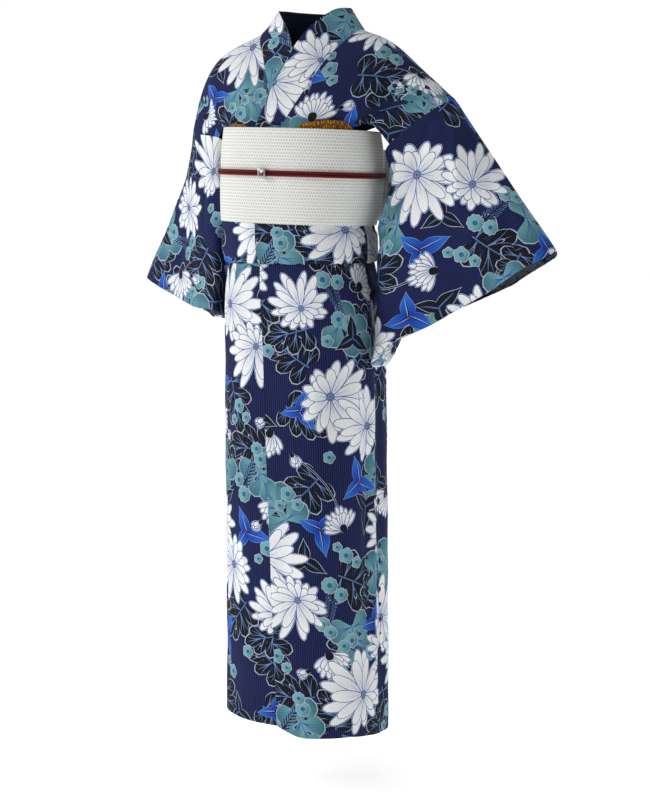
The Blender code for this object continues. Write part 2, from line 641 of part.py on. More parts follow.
def build_waist(cotton):
    """The stretch under the obi and the fold that hangs below it."""
    whole = np.arange(len(WAIST_SECTIONS), dtype=float)
    panels = [
        ("left_front_waist", okumi_seam, left_side, 13),
        ("left_okumi_waist", okumi_edge, okumi_seam, 9),
        ("left_back_waist", left_side, middle_back, 10),
        ("right_back_waist", lambda z: -1.0, right_side, 10),
        ("right_front_waist", right_side, okumi_edge, 4),
    ]
    for name, first, last, columns in panels:
        tube_wall(name, tube_panel(WAIST_SECTIONS, whole, first, last, columns), cotton)
    flat = np.arange(7, dtype=float)
    under = tube_panel(WAIST_SECTIONS, flat, okumi_edge, lambda z: UNDER_EDGE, 17,
                       sink=lambda shares: np.full(len(shares), WAIST_UNDER_DEPTH))
    tube_wall("right_front_under", under, cotton)


def build_skirt(cotton):
    """The wrapped skirt: left side over right, backs, and the under side."""
    places = np.array([0.0, 1.0, 2.0, 3.0, 4.0, 4.6, 5.0, 5.5, 6.0, 6.5, 7.0, 7.5, 8.0])

    def hem(shares):
        return line_at(HEM_LINE, shares)

    def under_hem(shares):
        rise = UNDER_HEM_RISE * smoothstep(RIGHT_SIDE, RIGHT_SIDE + 0.08, shares)
        return line_at(HEM_LINE, shares) + rise

    upper = [
        ("left_front_skirt", okumi_seam, left_side, 13),
        ("left_okumi_skirt", okumi_edge, okumi_seam, 9),
        ("left_back_skirt", left_side, middle_back, 10),
        ("right_back_skirt", lambda z: -1.0, right_side, 10),
    ]
    for name, first, last, columns in upper:
        tube_wall(name, tube_panel(SKIRT_SECTIONS, places, first, last, columns, folds=True, hem=hem), cotton)
    under = [
        ("right_front_skirt", right_side, lambda z: UNDER_SEAM, 12),
        ("right_okumi_skirt", lambda z: UNDER_SEAM, lambda z: UNDER_EDGE, 9),
    ]
    for name, first, last, columns in under:
        tube_wall(name, tube_panel(SKIRT_SECTIONS, places, first, last, columns, sink=under_sink, folds=True,
                                   hem=under_hem), cotton)


def closed_band(name, section_of, heights_of, count, thick, material):
    """A band right round the body, rows of height for each share of its girth."""
    shares = np.linspace(-1.0, 1.0, count, endpoint=False)
    rows = []
    for level in heights_of:
        rows.append(section_of(level, shares))
    grid = np.array(rows)
    normals = outward(grid, grid_normals(grid, closed=True), np.array([0.0, -0.03, -0.26]))
    normals[..., 2] *= 0.2
    normals /= np.linalg.norm(normals, axis=2, keepdims=True)
    return wall(name, grid, normals, thick, material, closed=True)


def obi_point(height, shares, grow=0.0):
    """Outer points of the obi at one height."""
    return ring(section_at(OBI_SECTIONS, place_of_height(OBI_SECTIONS, height)), shares, grow)


def build_obi(weave):
    """The belt's round."""
    closed_band("obi_wrap", obi_point, np.linspace(-0.177, -0.344, 6), 48, OBI_CLOTH, weave)


def build_scarf(crepe):
    """The scarf between belt and body; its upper edge shows at both sides of the collar."""
    def points(level, shares):
        height = line_at(SCARF_TOP, shares) * (1 - level) + SCARF_FOOT * level
        row = ring((0.0, 0.1306, 0.1128, -0.0030, -0.0360), shares, grow=SCARF_CLOTH)
        row[:, 2] = height
        return row
    closed_band("obiage", points, [0.0, 0.5, 1.0], 64, SCARF_CLOTH, crepe)


def build_cord(silk):
    """The flat cord round the obi."""
    half = CORD_WIDTH / 2
    profile = [(-half, 0.0), (-half * 0.6, 1.0), (half * 0.6, 1.0), (half, 0.0)]

    def points(level, shares):
        rise, bulge = level
        return obi_point(CORD_HEIGHT - rise, shares, grow=SEAM + CORD_DEPTH * (0.35 + 0.65 * bulge))

    shares = np.linspace(-1.0, 1.0, 48, endpoint=False)
    outer = np.array([points(level, shares) for level in profile])
    inner = np.array([obi_point(CORD_HEIGHT - rise, shares, grow=SEAM) for rise, _ in profile])
    size = outer - inner
    depth = np.linalg.norm(size, axis=2, keepdims=True)
    wall("obijime", outer, size / depth, depth, silk, closed=True)


def build_clasp(metal):
    """The square clasp on the cord, with a lip over each edge of the cord."""
    spots = obi_point(CORD_HEIGHT, np.linspace(-0.08, 0.0, 41))
    seat = spots[int(np.argmin(np.abs(spots[:, 0] - CLASP_X)))]
    turn = math.atan2(spots[-1][1] - spots[0][1], spots[-1][0] - spots[0][0])
    back = -(CORD_DEPTH + 2 * SEAM + CLASP_PLAY)
    face = back - CLASP_DEPTH
    lip = -4 * SEAM
    half = CLASP_SIZE / 2
    if CORD_WIDTH / 2 + SEAM > half - CLASP_LIP:
        raise ValueError("the clasp is too small for the cord")
    outline = [
        (face, -half + CLASP_ROUND), (face, half - CLASP_ROUND), (face + CLASP_ROUND, half),
        (lip, half), (lip, half - CLASP_LIP), (back, half - CLASP_LIP),
        (back, -half + CLASP_LIP), (lip, -half + CLASP_LIP), (lip, -half), (face + CLASP_ROUND, -half),
    ]
    cosine, sine = math.cos(turn), math.sin(turn)
    verts = []
    for x in (-half, -half + CLASP_ROUND, half - CLASP_ROUND, half):
        for depth, z in outline:
            eased = abs(x) == half and depth < back
            y = depth + (0.9 * CLASP_ROUND if eased else 0.0)
            verts.append((seat[0] + x * cosine - y * sine, seat[1] + x * sine + y * cosine, CORD_HEIGHT + z))
    count = len(outline)
    faces = [tuple(range(count)), tuple(3 * count + i for i in reversed(range(count)))]
    for band in range(3):
        for i in range(count):
            a, b = band * count + i, band * count + (i + 1) % count
            faces.append((a, a + count, b + count, b))
    make_object("obidome", verts, faces, metal)


def wing_grid(side):
    """One wing of the bow: a length of belt folded back at its outer end."""
    rows = []
    back = obi_point(CORD_HEIGHT, np.array([1.0]))[0][1]
    root = KNOT_WIDTH / 2 - WING_TUCK
    for turn in WING_TURNS:
        out = turn if turn <= 1.0 else 2.0 - turn
        reach = root + (BOW_HALF - root) * out
        puff = math.sin(math.pi * out) ** 0.8
        layer = 0.0 if turn < 1.0 else 1.0
        if turn == 1.0:
            layer = 0.5
        tall = WING_ROOT_HEIGHT + (WING_HEIGHT - WING_ROOT_HEIGHT) * smoothstep(0.0, 0.75, out)
        top = BOW_TOP - WING_ROOT_DROP * (1 - smoothstep(0.0, 0.7, out)) - WING_TIP_DROP * out ** 2
        gather = 1 - smoothstep(0.0, 0.8, out)
        row = []
        for share in np.linspace(0.0, 1.0, 8):
            pleat = WING_PLEAT * math.cos(share * math.pi * 5) * gather
            y = back + WING_BACK + layer * WING_GAP + (layer - 0.35) * WING_PUFF * puff
            y += pleat * (1.0 if layer else 0.6) - WING_WRAP * out ** 2.2
            row.append((side * reach, y, top - tall * share))
        rows.append(row)
    return np.array(rows)


def build_bow(weave):
    """The bow at the back: two wings and the knot that holds them."""
    for side, name in ((1, "bow_left"), (-1, "bow_right")):
        grid = wing_grid(side)
        normals = grid_normals(grid)
        if normals[-2, 3, 1] < 0:
            normals = -normals
        wall(name, grid, normals, BOW_CLOTH, weave)
    back = obi_point(CORD_HEIGHT, np.array([1.0]))[0][1]
    half = KNOT_WIDTH / 2
    rows = []
    for x in np.linspace(-half, half, 5):
        bulge = 1.0 - KNOT_ROUND * (x / half) ** 2
        rows.append([(x, back + (y * bulge if y > KNOT_SIDE else y), z) for z, y in KNOT_LOOP])
    grid = np.array(rows)
    centre = np.array([0.0, back + KNOT_SIDE, CORD_HEIGHT])
    normals = outward(grid, grid_normals(grid, closed=True), centre)
    normals[..., 0] = 0.0
    normals /= np.linalg.norm(normals, axis=2, keepdims=True)
    wall("bow_knot", grid, normals, BOW_CLOTH, weave, closed=True)


def main():
    """Build every piece of the garment and its belt."""
    cotton = finish("cotton", NAVY)
    weave = finish("obi_weave", OFF_WHITE)
    crepe = finish("scarf_crepe", MUSTARD)
    silk = finish("cord_silk", DARK_RED)
    metal = finish("clasp_metal", SILVER, metal=1.0)
    build_upper_bodies(cotton)
    build_collar(cotton)
    build_sleeve("left_sleeve", LEFT_SLEEVE_FRONT, LEFT_SLEEVE_BACK, cotton)
    build_sleeve("right_sleeve", RIGHT_SLEEVE_FRONT, RIGHT_SLEEVE_BACK, cotton)
    build_waist(cotton)
    build_skirt(cotton)
    build_obi(weave)
    build_scarf(crepe)
    build_cord(silk)
    build_clasp(metal)
    build_bow(weave)


clear_scene()
PARTS = bpy.data.collections.new("cotton_yukata")
bpy.context.scene.collection.children.link(PARTS)
main()
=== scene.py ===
"""Looks of a cotton yukata as it is worn with its sash.

Metres, +Z up, the front towards -Y and the wearer's left side at +X. The print is drawn
flat on the bolt, in millimetres: u runs across the bolt and v along it. Each cut panel
takes its own stretch of the bolt and is then laid on the form that it has when worn.
"""

import logging
import math
from dataclasses import dataclass, field, replace
from enum import Enum
from typing import Callable, Optional, Sequence

import bmesh
import bpy
import numpy as np
from mathutils import Matrix, Vector
from mathutils.geometry import delaunay_2d_cdt
from mathutils.kdtree import KDTree


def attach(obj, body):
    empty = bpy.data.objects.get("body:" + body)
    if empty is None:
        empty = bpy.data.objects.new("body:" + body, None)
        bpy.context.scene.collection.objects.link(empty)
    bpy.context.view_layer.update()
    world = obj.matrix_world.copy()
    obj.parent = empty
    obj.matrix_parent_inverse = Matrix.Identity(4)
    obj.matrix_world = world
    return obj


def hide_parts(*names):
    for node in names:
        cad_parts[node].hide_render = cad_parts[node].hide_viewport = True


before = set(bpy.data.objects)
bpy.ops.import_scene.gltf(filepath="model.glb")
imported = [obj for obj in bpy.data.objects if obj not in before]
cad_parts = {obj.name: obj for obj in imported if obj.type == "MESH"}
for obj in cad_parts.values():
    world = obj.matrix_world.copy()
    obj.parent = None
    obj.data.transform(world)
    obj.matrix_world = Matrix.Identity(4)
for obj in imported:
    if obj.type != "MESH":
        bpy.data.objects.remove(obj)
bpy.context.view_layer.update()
LOG = logging.getLogger("yukata")

BODY = "root"
SASH_TILT = 0.033        # fall of the sash for each metre towards the wearer's left
CORD_HEIGHT = -0.2560    # middle of the cord, the clasp and the bow
CORD_DEPTH = 0.0042
HALF_GIRTH = 0.43        # of the body under the sash, in metres
CHUNK = 4000             # points that are tested in one go

# Cutting lines and tables of the worn form
SEAM = 0.0003            # each of two joined pieces stops this far from their seam
TUCK = -0.0001           # printed cloth reaches this far past the edge of its form
CUFF_OPEN = 0.49         # share of the cuff edge that is left open for the hand
ARMHOLE = 0.30           # share of the sleeve's inner edge that is sewn to the body
SQUARE = 2.45            # exponent of the padded body's rounded section
HEM = -1.290             # lowest edge, at the back
# Sections of the body: height, half width, half depth, centre x and centre y
OBI_SECTIONS = [
    (-0.177, 0.1384, 0.1240, -0.0030, -0.036),
    (-0.215, 0.1432, 0.1285, -0.0030, -0.035),
    (-0.262, 0.1451, 0.1300, -0.0040, -0.034),
    (-0.310, 0.1425, 0.1290, -0.0080, -0.033),
    (-0.344, 0.1380, 0.1270, -0.0120, -0.033),
]
WAIST_SECTIONS = [
    (-0.1856, 0.1294, 0.1116, -0.0030, -0.036),
    (-0.2005, 0.1294, 0.1116, -0.0030, -0.036),
    (-0.2150, 0.1355, 0.1200, -0.0030, -0.036),
    (-0.2620, 0.1412, 0.1261, -0.0040, -0.034),
    (-0.3440, 0.1343, 0.1233, -0.0120, -0.033),
    (-0.3650, 0.1372, 0.1285, -0.0100, -0.032),
    (-0.3900, 0.1372, 0.1300, -0.0085, -0.032),
    (-0.4070, 0.1350, 0.1292, -0.0072, -0.031),
    (-0.4130, 0.1335, 0.1278, -0.0070, -0.031),
    (-0.4152, 0.1312, 0.1256, -0.0069, -0.031),
    (-0.4130, 0.1289, 0.1234, -0.0068, -0.031),
    (-0.4070, 0.1280, 0.1225, -0.0068, -0.031),
    (-0.3650, 0.1272, 0.1212, -0.0090, -0.032),
]
SKIRT_SECTIONS = [
    (-0.3600, 0.1262, 0.1202, -0.0093, -0.032),
    (-0.4070, 0.1272, 0.1217, -0.0068, -0.031),
    (-0.4180, 0.1290, 0.1236, -0.0066, -0.031),
    (-0.4400, 0.1325, 0.1265, -0.0058, -0.031),
    (-0.4800, 0.1380, 0.1300, -0.0044, -0.030),
    (-0.6000, 0.1423, 0.1330, -0.0014, -0.030),
    (-0.9000, 0.1446, 0.1350, 0.0003, -0.028),
    (-1.1000, 0.1465, 0.1350, 0.0012, -0.026),
    (-1.2900, 0.1487, 0.1350, 0.0000, -0.024),
]
# Height, and shares of half the girth of the overlap's seam and free edge
OKUMI_LINES = [
    (-0.18, -0.085, -0.400),
    (-0.41, -0.060, -0.395),
    (-0.60, -0.045, -0.390),
    (-1.02, -0.020, -0.375),
    (-1.29, 0.002, -0.360),
]
# Shares of half the girth, 0 at the middle of the front
LEFT_SIDE = 0.48
RIGHT_SIDE = -0.52
UNDER_SEAM = -0.02
UNDER_EDGE = 0.30
# Share of half the girth, and height
HEM_LINE = [
    (-1.00, -1.290), (-0.52, -1.268), (-0.36, -1.250), (0.00, -1.252),
    (0.05, -1.262), (0.10, -1.270), (0.30, -1.271), (0.48, -1.285), (1.00, -1.290),
]
UNDER_HEM_RISE = 0.012
# Upright folds: share, width, depth, top and foot
SKIRT_FOLDS = [
    (0.40, 0.045, -0.0035, -0.55, -1.29),
    (0.56, 0.050, 0.0045, -0.50, -1.29),
    (0.70, 0.045, -0.0050, -0.48, -1.20),
    (0.86, 0.055, 0.0040, -0.60, -1.29),
    (-0.86, 0.050, -0.0045, -0.55, -1.29),
    (-0.70, 0.050, 0.0045, -0.48, -1.25),
    (-0.58, 0.040, -0.0040, -0.60, -1.29),
    (0.20, 0.050, -0.0020, -0.80, -1.29),
    (-0.22, 0.040, -0.0020, -0.70, -1.29),
]
FOLD_FADE = 0.25         # height over which a fold grows to its full depth
# Lines in space: share of the length, x, y and z
COLLAR_SEAM = [
    (0.00, 0.000, 0.098, -0.004), (0.12, 0.050, 0.085, -0.002), (0.24, 0.085, 0.045, 0.000),
    (0.34, 0.095, 0.000, 0.000), (0.45, 0.087, -0.036, -0.016), (0.56, 0.067, -0.071, -0.047),
    (0.75, 0.036, -0.113, -0.110), (0.95, 0.004, -0.1465, -0.177), (1.00, 0.000, -0.1480, -0.184),
]
COLLAR_EDGE = [
    (0.00, 0.000, 0.086, 0.038), (0.12, 0.040, 0.072, 0.040), (0.24, 0.062, 0.036, 0.041),
    (0.34, 0.066, 0.006, 0.039), (0.45, 0.052, -0.030, 0.032), (0.56, 0.020, -0.068, -0.004),
    (0.75, -0.022, -0.114, -0.100), (0.95, -0.044, -0.1455, -0.177), (1.00, -0.047, -0.1475, -0.184),
]
NECK_POINT = 0.34        # where the collar's seam passes the shoulder
# Share of the collar, and how far its right side sinks there
UNDERLAP = [
    (0.00, 0.0), (0.43, 0.0), (0.50, 0.0035), (0.57, 0.0090), (0.80, 0.0090), (1.00, 0.0075),
]
LEFT_RIDGE = [
    (0.00, 0.095, 0.000, 0.000), (0.24, 0.142, 0.002, -0.014), (0.40, 0.171, 0.002, -0.033),
    (0.60, 0.208, 0.000, -0.069), (0.83, 0.247, 0.000, -0.103), (1.00, 0.276, 0.000, -0.128),
]
RIGHT_RIDGE = [
    (0.00, -0.095, 0.000, 0.000), (0.20, -0.139, 0.002, -0.012), (0.38, -0.176, 0.002, -0.030),
    (0.52, -0.200, 0.002, -0.050), (0.70, -0.222, 0.002, -0.088), (0.86, -0.233, 0.000, -0.132),
    (1.00, -0.238, 0.000, -0.175),
]
LEFT_FRONT_FOOT = [
    (0.00, 0.000, -0.1480, -0.184), (0.25, 0.055, -0.1412, -0.184), (0.48, 0.096, -0.1130, -0.184),
    (0.62, 0.112, -0.0915, -0.181), (0.74, 0.127, -0.0755, -0.1735), (0.84, 0.144, -0.0660, -0.170),
    (0.92, 0.160, -0.0640, -0.184), (1.00, 0.178, -0.0640, -0.205),
]
LEFT_BACK_FOOT = [
    (0.00, 0.000, 0.0755, -0.184), (0.25, 0.050, 0.0680, -0.184), (0.45, 0.092, 0.0470, -0.176),
    (0.60, 0.123, 0.0440, -0.168), (0.80, 0.170, 0.0520, -0.185), (1.00, 0.212, 0.0600, -0.205),
]
RIGHT_FRONT_FOOT = [
    (0.00, 0.000, -0.1405, -0.184), (0.25, -0.055, -0.1392, -0.184), (0.48, -0.100, -0.1150, -0.184),
    (0.66, -0.118, -0.0925, -0.181), (0.80, -0.132, -0.0780, -0.1735), (0.90, -0.145, -0.0710, -0.173),
    (1.00, -0.158, -0.0680, -0.190),
]
RIGHT_BACK_FOOT = [
    (0.00, 0.000, 0.0755, -0.184), (0.25, -0.050, 0.0680, -0.184), (0.45, -0.092, 0.0470, -0.176),
    (0.60, -0.123, 0.0440, -0.168), (0.80, -0.164, 0.0560, -0.175), (1.00, -0.198, 0.0700, -0.198),
]
CENTRE_BACK = [
    (0.00, 0.0, 0.098, -0.004), (0.30, 0.0, 0.100, -0.055), (0.65, 0.0, 0.092, -0.120),
    (1.00, 0.0, 0.0755, -0.184),
]
COLLAR_SHARE = 0.38      # share of the back panel's inner line that runs along the collar
FRONT_ROWS = 14          # rows of a front; the collar has a row at each
NECK_ROWS = 5            # rows of a back along the collar; the collar has a row at each
# Each sleeve layer is three lines in space, from the top fold to the foot
LEFT_SLEEVE_FRONT = [
    [(0.00, 0.276, 0.000, -0.128), (0.03, 0.273, -0.015, -0.130), (0.10, 0.262, -0.035, -0.138),
     (0.20, 0.225, -0.055, -0.165), (0.30, 0.178, -0.064, -0.205), (0.45, 0.161, -0.030, -0.238),
     (0.70, 0.168, 0.050, -0.300), (1.00, 0.180, 0.130, -0.370)],
    [(0.00, 0.370, 0.000, -0.2585), (0.03, 0.365, -0.017, -0.262), (0.09, 0.349, -0.034, -0.274),
     (0.20, 0.305, -0.052, -0.305), (0.35, 0.243, -0.066, -0.348), (0.48, 0.188, -0.080, -0.390),
     (0.54, 0.165, -0.075, -0.412), (0.70, 0.160, -0.012, -0.440), (0.85, 0.165, 0.040, -0.458),
     (1.00, 0.172, 0.098, -0.480)],
    [(0.00, 0.464, 0.000, -0.389), (0.03, 0.459, -0.016, -0.394), (0.11, 0.430, -0.035, -0.411),
     (0.20, 0.394, -0.045, -0.433), (0.285, 0.361, -0.050, -0.458), (0.39, 0.316, -0.055, -0.485),
     (0.53, 0.257, -0.065, -0.519), (0.70, 0.184, -0.088, -0.562), (0.77, 0.157, -0.090, -0.588),
     (0.87, 0.155, -0.040, -0.597), (1.00, 0.159, 0.022, -0.562)],
]
LEFT_SLEEVE_BACK = [
    [(0.00, 0.276, 0.000, -0.128), (0.03, 0.275, 0.015, -0.131), (0.10, 0.268, 0.034, -0.142),
     (0.20, 0.240, 0.052, -0.172), (0.30, 0.212, 0.060, -0.205), (0.45, 0.197, 0.065, -0.245),
     (0.70, 0.188, 0.085, -0.302), (1.00, 0.190, 0.136, -0.374)],
    [(0.00, 0.370, 0.000, -0.2585), (0.03, 0.367, 0.017, -0.264), (0.09, 0.355, 0.033, -0.282),
     (0.20, 0.318, 0.045, -0.312), (0.35, 0.258, 0.030, -0.358), (0.48, 0.212, -0.010, -0.398),
     (0.54, 0.192, -0.026, -0.415), (0.70, 0.180, 0.006, -0.440), (0.85, 0.180, 0.050, -0.458),
     (1.00, 0.183, 0.102, -0.480)],
    [(0.00, 0.464, 0.000, -0.389), (0.03, 0.461, 0.017, -0.396), (0.11, 0.441, 0.034, -0.410),
     (0.20, 0.406, 0.036, -0.431), (0.285, 0.370, 0.026, -0.454), (0.39, 0.325, 0.000, -0.478),
     (0.46, 0.294, -0.030, -0.494), (0.53, 0.262, -0.053, -0.516), (0.70, 0.190, -0.075, -0.558),
     (0.77, 0.169, -0.076, -0.584), (0.87, 0.166, -0.034, -0.595), (1.00, 0.170, 0.024, -0.562)],
]
SLEEVE_STEPS = np.array([
    0.0, 0.035, 0.08, 0.14, 0.20, 0.25, 0.30, 0.37, 0.43, 0.49, 0.545, 0.60, 0.66, 0.72, 0.77, 0.83,
    0.91, 1.0,
])
RIGHT_SLEEVE_FRONT = [
    [(0.00, -0.238, 0.000, -0.175), (0.03, -0.236, -0.014, -0.176), (0.10, -0.229, -0.034, -0.179),
     (0.20, -0.200, -0.058, -0.183), (0.30, -0.158, -0.068, -0.190), (0.45, -0.157, -0.028, -0.218),
     (0.70, -0.165, 0.050, -0.270), (1.00, -0.175, 0.125, -0.330)],
    [(0.00, -0.290, 0.028, -0.285), (0.03, -0.282, 0.012, -0.290), (0.09, -0.264, -0.004, -0.304),
     (0.20, -0.232, -0.026, -0.330), (0.33, -0.200, -0.056, -0.346), (0.46, -0.162, -0.064, -0.354),
     (0.60, -0.157, -0.010, -0.378), (0.80, -0.166, 0.060, -0.410), (1.00, -0.178, 0.132, -0.445)],
    [(0.00, -0.384, 0.050, -0.455), (0.03, -0.372, 0.036, -0.458), (0.10, -0.342, 0.020, -0.468),
     (0.20, -0.300, 0.004, -0.483), (0.37, -0.229, -0.036, -0.503), (0.51, -0.169, -0.062, -0.507),
     (0.63, -0.160, -0.012, -0.520), (0.80, -0.166, 0.060, -0.533), (1.00, -0.180, 0.140, -0.552)],
]
RIGHT_SLEEVE_BACK = [
    [(0.00, -0.238, 0.000, -0.175), (0.03, -0.238, 0.014, -0.177), (0.10, -0.236, 0.034, -0.182),
     (0.20, -0.222, 0.056, -0.188), (0.30, -0.198, 0.070, -0.198), (0.45, -0.194, 0.080, -0.230),
     (0.70, -0.181, 0.088, -0.275), (1.00, -0.182, 0.131, -0.334)],
    [(0.00, -0.290, 0.028, -0.285), (0.03, -0.288, 0.042, -0.294), (0.09, -0.276, 0.054, -0.310),
     (0.20, -0.248, 0.058, -0.340), (0.33, -0.215, 0.050, -0.360), (0.46, -0.191, 0.030, -0.374),
     (0.60, -0.180, 0.034, -0.390), (0.80, -0.179, 0.074, -0.418), (1.00, -0.186, 0.136, -0.448)],
    [(0.00, -0.384, 0.050, -0.455), (0.03, -0.376, 0.062, -0.462), (0.10, -0.346, 0.068, -0.478),
     (0.20, -0.306, 0.064, -0.498), (0.37, -0.236, 0.030, -0.518), (0.45, -0.206, -0.004, -0.522),
     (0.50, -0.191, -0.022, -0.522), (0.545, -0.179, -0.026, -0.522), (0.60, -0.175, -0.010, -0.526),
     (0.66, -0.171, 0.012, -0.532), (0.80, -0.176, 0.064, -0.540), (1.00, -0.189, 0.144, -0.558)],
]
# Share of half the girth, and height
SCARF_TOP = [
    (-1.00, -0.1885), (-0.39, -0.1885), (-0.35, -0.1760), (-0.25, -0.1675), (-0.15, -0.1700),
    (-0.12, -0.1885), (0.09, -0.1885), (0.12, -0.1700), (0.22, -0.1665), (0.30, -0.1705),
    (0.34, -0.1770), (0.37, -0.1885), (1.00, -0.1885),
]
# Height, and distance behind the sash
KNOT_LOOP = [
    (-0.208, 0.0120), (-0.207, 0.0270), (-0.218, 0.0375), (-0.262, 0.0405), (-0.308, 0.0375),
    (-0.319, 0.0270), (-0.318, 0.0120), (-0.310, 0.0062), (-0.262, 0.0055), (-0.216, 0.0062),
]


def through(rows: Sequence[Sequence[float]], t: Sequence[float]) -> np.ndarray:
    """A smooth curve through a table whose first column is the parameter.

    Args:
        rows: The table.
        t: Parameters at which the curve is read.

    Returns:
        One row of values for each parameter.
    """
    table = np.asarray(rows, float)
    knots, points = table[:, 0], table[:, 1:]
    slopes = np.gradient(points, knots, axis=0)
    t = np.clip(np.atleast_1d(np.asarray(t, float)), knots[0], knots[-1])
    i = np.clip(np.searchsorted(knots, t, side="right") - 1, 0, len(knots) - 2)
    h = (knots[i + 1] - knots[i])[:, None]
    a, b, c, d = hermite((t - knots[i])[:, None] / h)
    return a * points[i] + b * h * slopes[i] + c * points[i + 1] + d * h * slopes[i + 1]


def hermite(u: np.ndarray) -> tuple[np.ndarray, np.ndarray, np.ndarray, np.ndarray]:
    """The four weights of a cubic step: start, start slope, end, end slope."""
    return (2 * u ** 3 - 3 * u ** 2 + 1, u ** 3 - 2 * u ** 2 + u,
            3 * u ** 2 - 2 * u ** 3, u ** 3 - u ** 2)


def smoothstep(low: float, high: float, value: np.ndarray | float) -> np.ndarray | float:
    """0 below low, 1 above high, smooth between."""
    u = np.clip((value - low) / (high - low), 0.0, 1.0)
    return u * u * (3.0 - 2.0 * u)


def line_at(table: Sequence[Sequence[float]], key: np.ndarray | float,
            column: int = 1) -> np.ndarray | float:
    """A column of a table, read at a key that rises or falls down the table."""
    values = np.asarray(table, float)
    order = np.argsort(values[:, 0])
    return np.interp(key, values[order, 0], values[order, column])


def ring(section: Sequence[float], shares: np.ndarray, grow: float = 0.0) -> np.ndarray:
    """Points of one body section.

    Args:
        section: Height, half width, half depth, centre x and centre y.
        shares: Places as a share of half its girth, 0 at the middle of the front.
        grow: How far outside the section the points lie.

    Returns:
        The points, in metres.
    """
    z, a, b, cx, cy = section
    angle = np.linspace(-math.pi, math.pi, 721)
    sine, cosine = np.sin(angle), np.cos(angle)
    across, deep = np.abs(sine) / (a + grow), np.abs(cosine) / (b + grow)
    reach = (across ** SQUARE + deep ** SQUARE) ** (-1 / SQUARE)
    x, y = reach * sine, -reach * cosine
    length = np.concatenate([[0.0], np.cumsum(np.hypot(np.diff(x), np.diff(y)))])
    wanted = (np.asarray(shares, float) + 1.0) / 2.0 * length[-1]
    return np.stack([cx + np.interp(wanted, length, x), cy + np.interp(wanted, length, y),
                     np.full(len(wanted), z)], axis=1)


def section_at(table: Sequence[Sequence[float]], place: float) -> np.ndarray:
    """A row of a section table at a place between its rows, 0 being the first row."""
    rows = [(float(i),) + tuple(row) for i, row in enumerate(table)]
    return through(rows, [place])[0]


def place_of_height(table: Sequence[Sequence[float]], height: float) -> float:
    """Where a section table that falls all the way reaches a height."""
    return float(np.interp(-height, [-row[0] for row in table], range(len(table))))


def grid_normals(points: np.ndarray, closed: bool = False) -> np.ndarray:
    """Unit normals of a grid of points.

    Args:
        points: Rows and columns of points.
        closed: Whether the last column meets the first.

    Returns:
        A normal for each point.
    """
    if closed:
        padded = np.concatenate([points[:, -1:], points, points[:, :1]], axis=1)
        across = np.gradient(padded, axis=1)[:, 1:-1]
    else:
        across = np.gradient(points, axis=1)
    return unit(np.cross(across, np.gradient(points, axis=0)))


def unit(vectors: np.ndarray) -> np.ndarray:
    """Vectors at length 1."""
    return vectors / np.maximum(np.linalg.norm(vectors, axis=-1, keepdims=True), 1e-12)


def length_of(line: np.ndarray) -> float:
    """Length of a line of points."""
    return float(np.linalg.norm(np.diff(line, axis=0), axis=1).sum())


def facing(grid: np.ndarray, normals: np.ndarray, centre: Sequence[float]) -> float:
    """1 if a grid's normals point away from a centre, -1 if they point at it."""
    return 1.0 if float(np.sum(normals * (grid - np.array(centre)))) > 0 else -1.0


def inside(points: np.ndarray, outline: np.ndarray) -> np.ndarray:
    """Which points lie inside a closed outline.

    Args:
        points: Flat points.
        outline: The corners of the outline in order.

    Returns:
        True for each point inside.
    """
    found = np.zeros(len(points), bool)
    x0, y0 = outline[:, 0], outline[:, 1]
    x1, y1 = np.roll(x0, -1), np.roll(y0, -1)
    rise = np.where(np.abs(y1 - y0) < 1e-12, 1e-12, y1 - y0)
    for start in range(0, len(points), CHUNK):
        x, y = points[start:start + CHUNK, 0:1], points[start:start + CHUNK, 1:2]
        spans = (y0 > y) != (y1 > y)
        crossing = x < (x1 - x0) * (y - y0) / rise + x0
        found[start:start + CHUNK] = (np.count_nonzero(spans & crossing, axis=1) % 2) == 1
    return found


def doubled_areas(spots: np.ndarray, faces: np.ndarray) -> np.ndarray:
    """Twice the signed area of each flat triangle."""
    a, b, c = spots[faces[:, 0]], spots[faces[:, 1]], spots[faces[:, 2]]
    return (b[:, 0] - a[:, 0]) * (c[:, 1] - a[:, 1]) - (b[:, 1] - a[:, 1]) * (c[:, 0] - a[:, 0])


def triangulated(points: np.ndarray, edges: Sequence[tuple[int, int]], outline: np.ndarray,
                 near: float, trace: bool) -> tuple[np.ndarray, np.ndarray, list]:
    """Triangles between flat points, inside an outline and with an edge along each given one.

    Args:
        points: Flat points; the outline's own come first.
        edges: Further edges, besides those of the outline.
        outline: The corners of the outline in order.
        near: Points closer than this become one.
        trace: Whether to say which points each new point stands for.

    Returns:
        Points, triangles, and the given points behind each point.
    """
    count = len(outline)
    borders = [(k, (k + 1) % count) for k in range(count)]
    result = delaunay_2d_cdt([Vector(p) for p in points], borders + list(edges), [], 0, near, trace)
    spots = np.array([p[:] for p in result[0]])
    faces = np.array([f for f in result[2] if len(f) == 3])
    return spots, faces[inside(spots[faces].mean(axis=1), outline)], result[3]


def linear(red: float, green: float, blue: float) -> tuple[float, float, float]:
    """A colour of 0 to 255 as shown on a screen, as linear light."""
    values = []
    for part in (red / 255.0, green / 255.0, blue / 255.0):
        values.append(part / 12.92 if part <= 0.04045 else ((part + 0.055) / 1.055) ** 2.4)
    return (values[0], values[1], values[2])


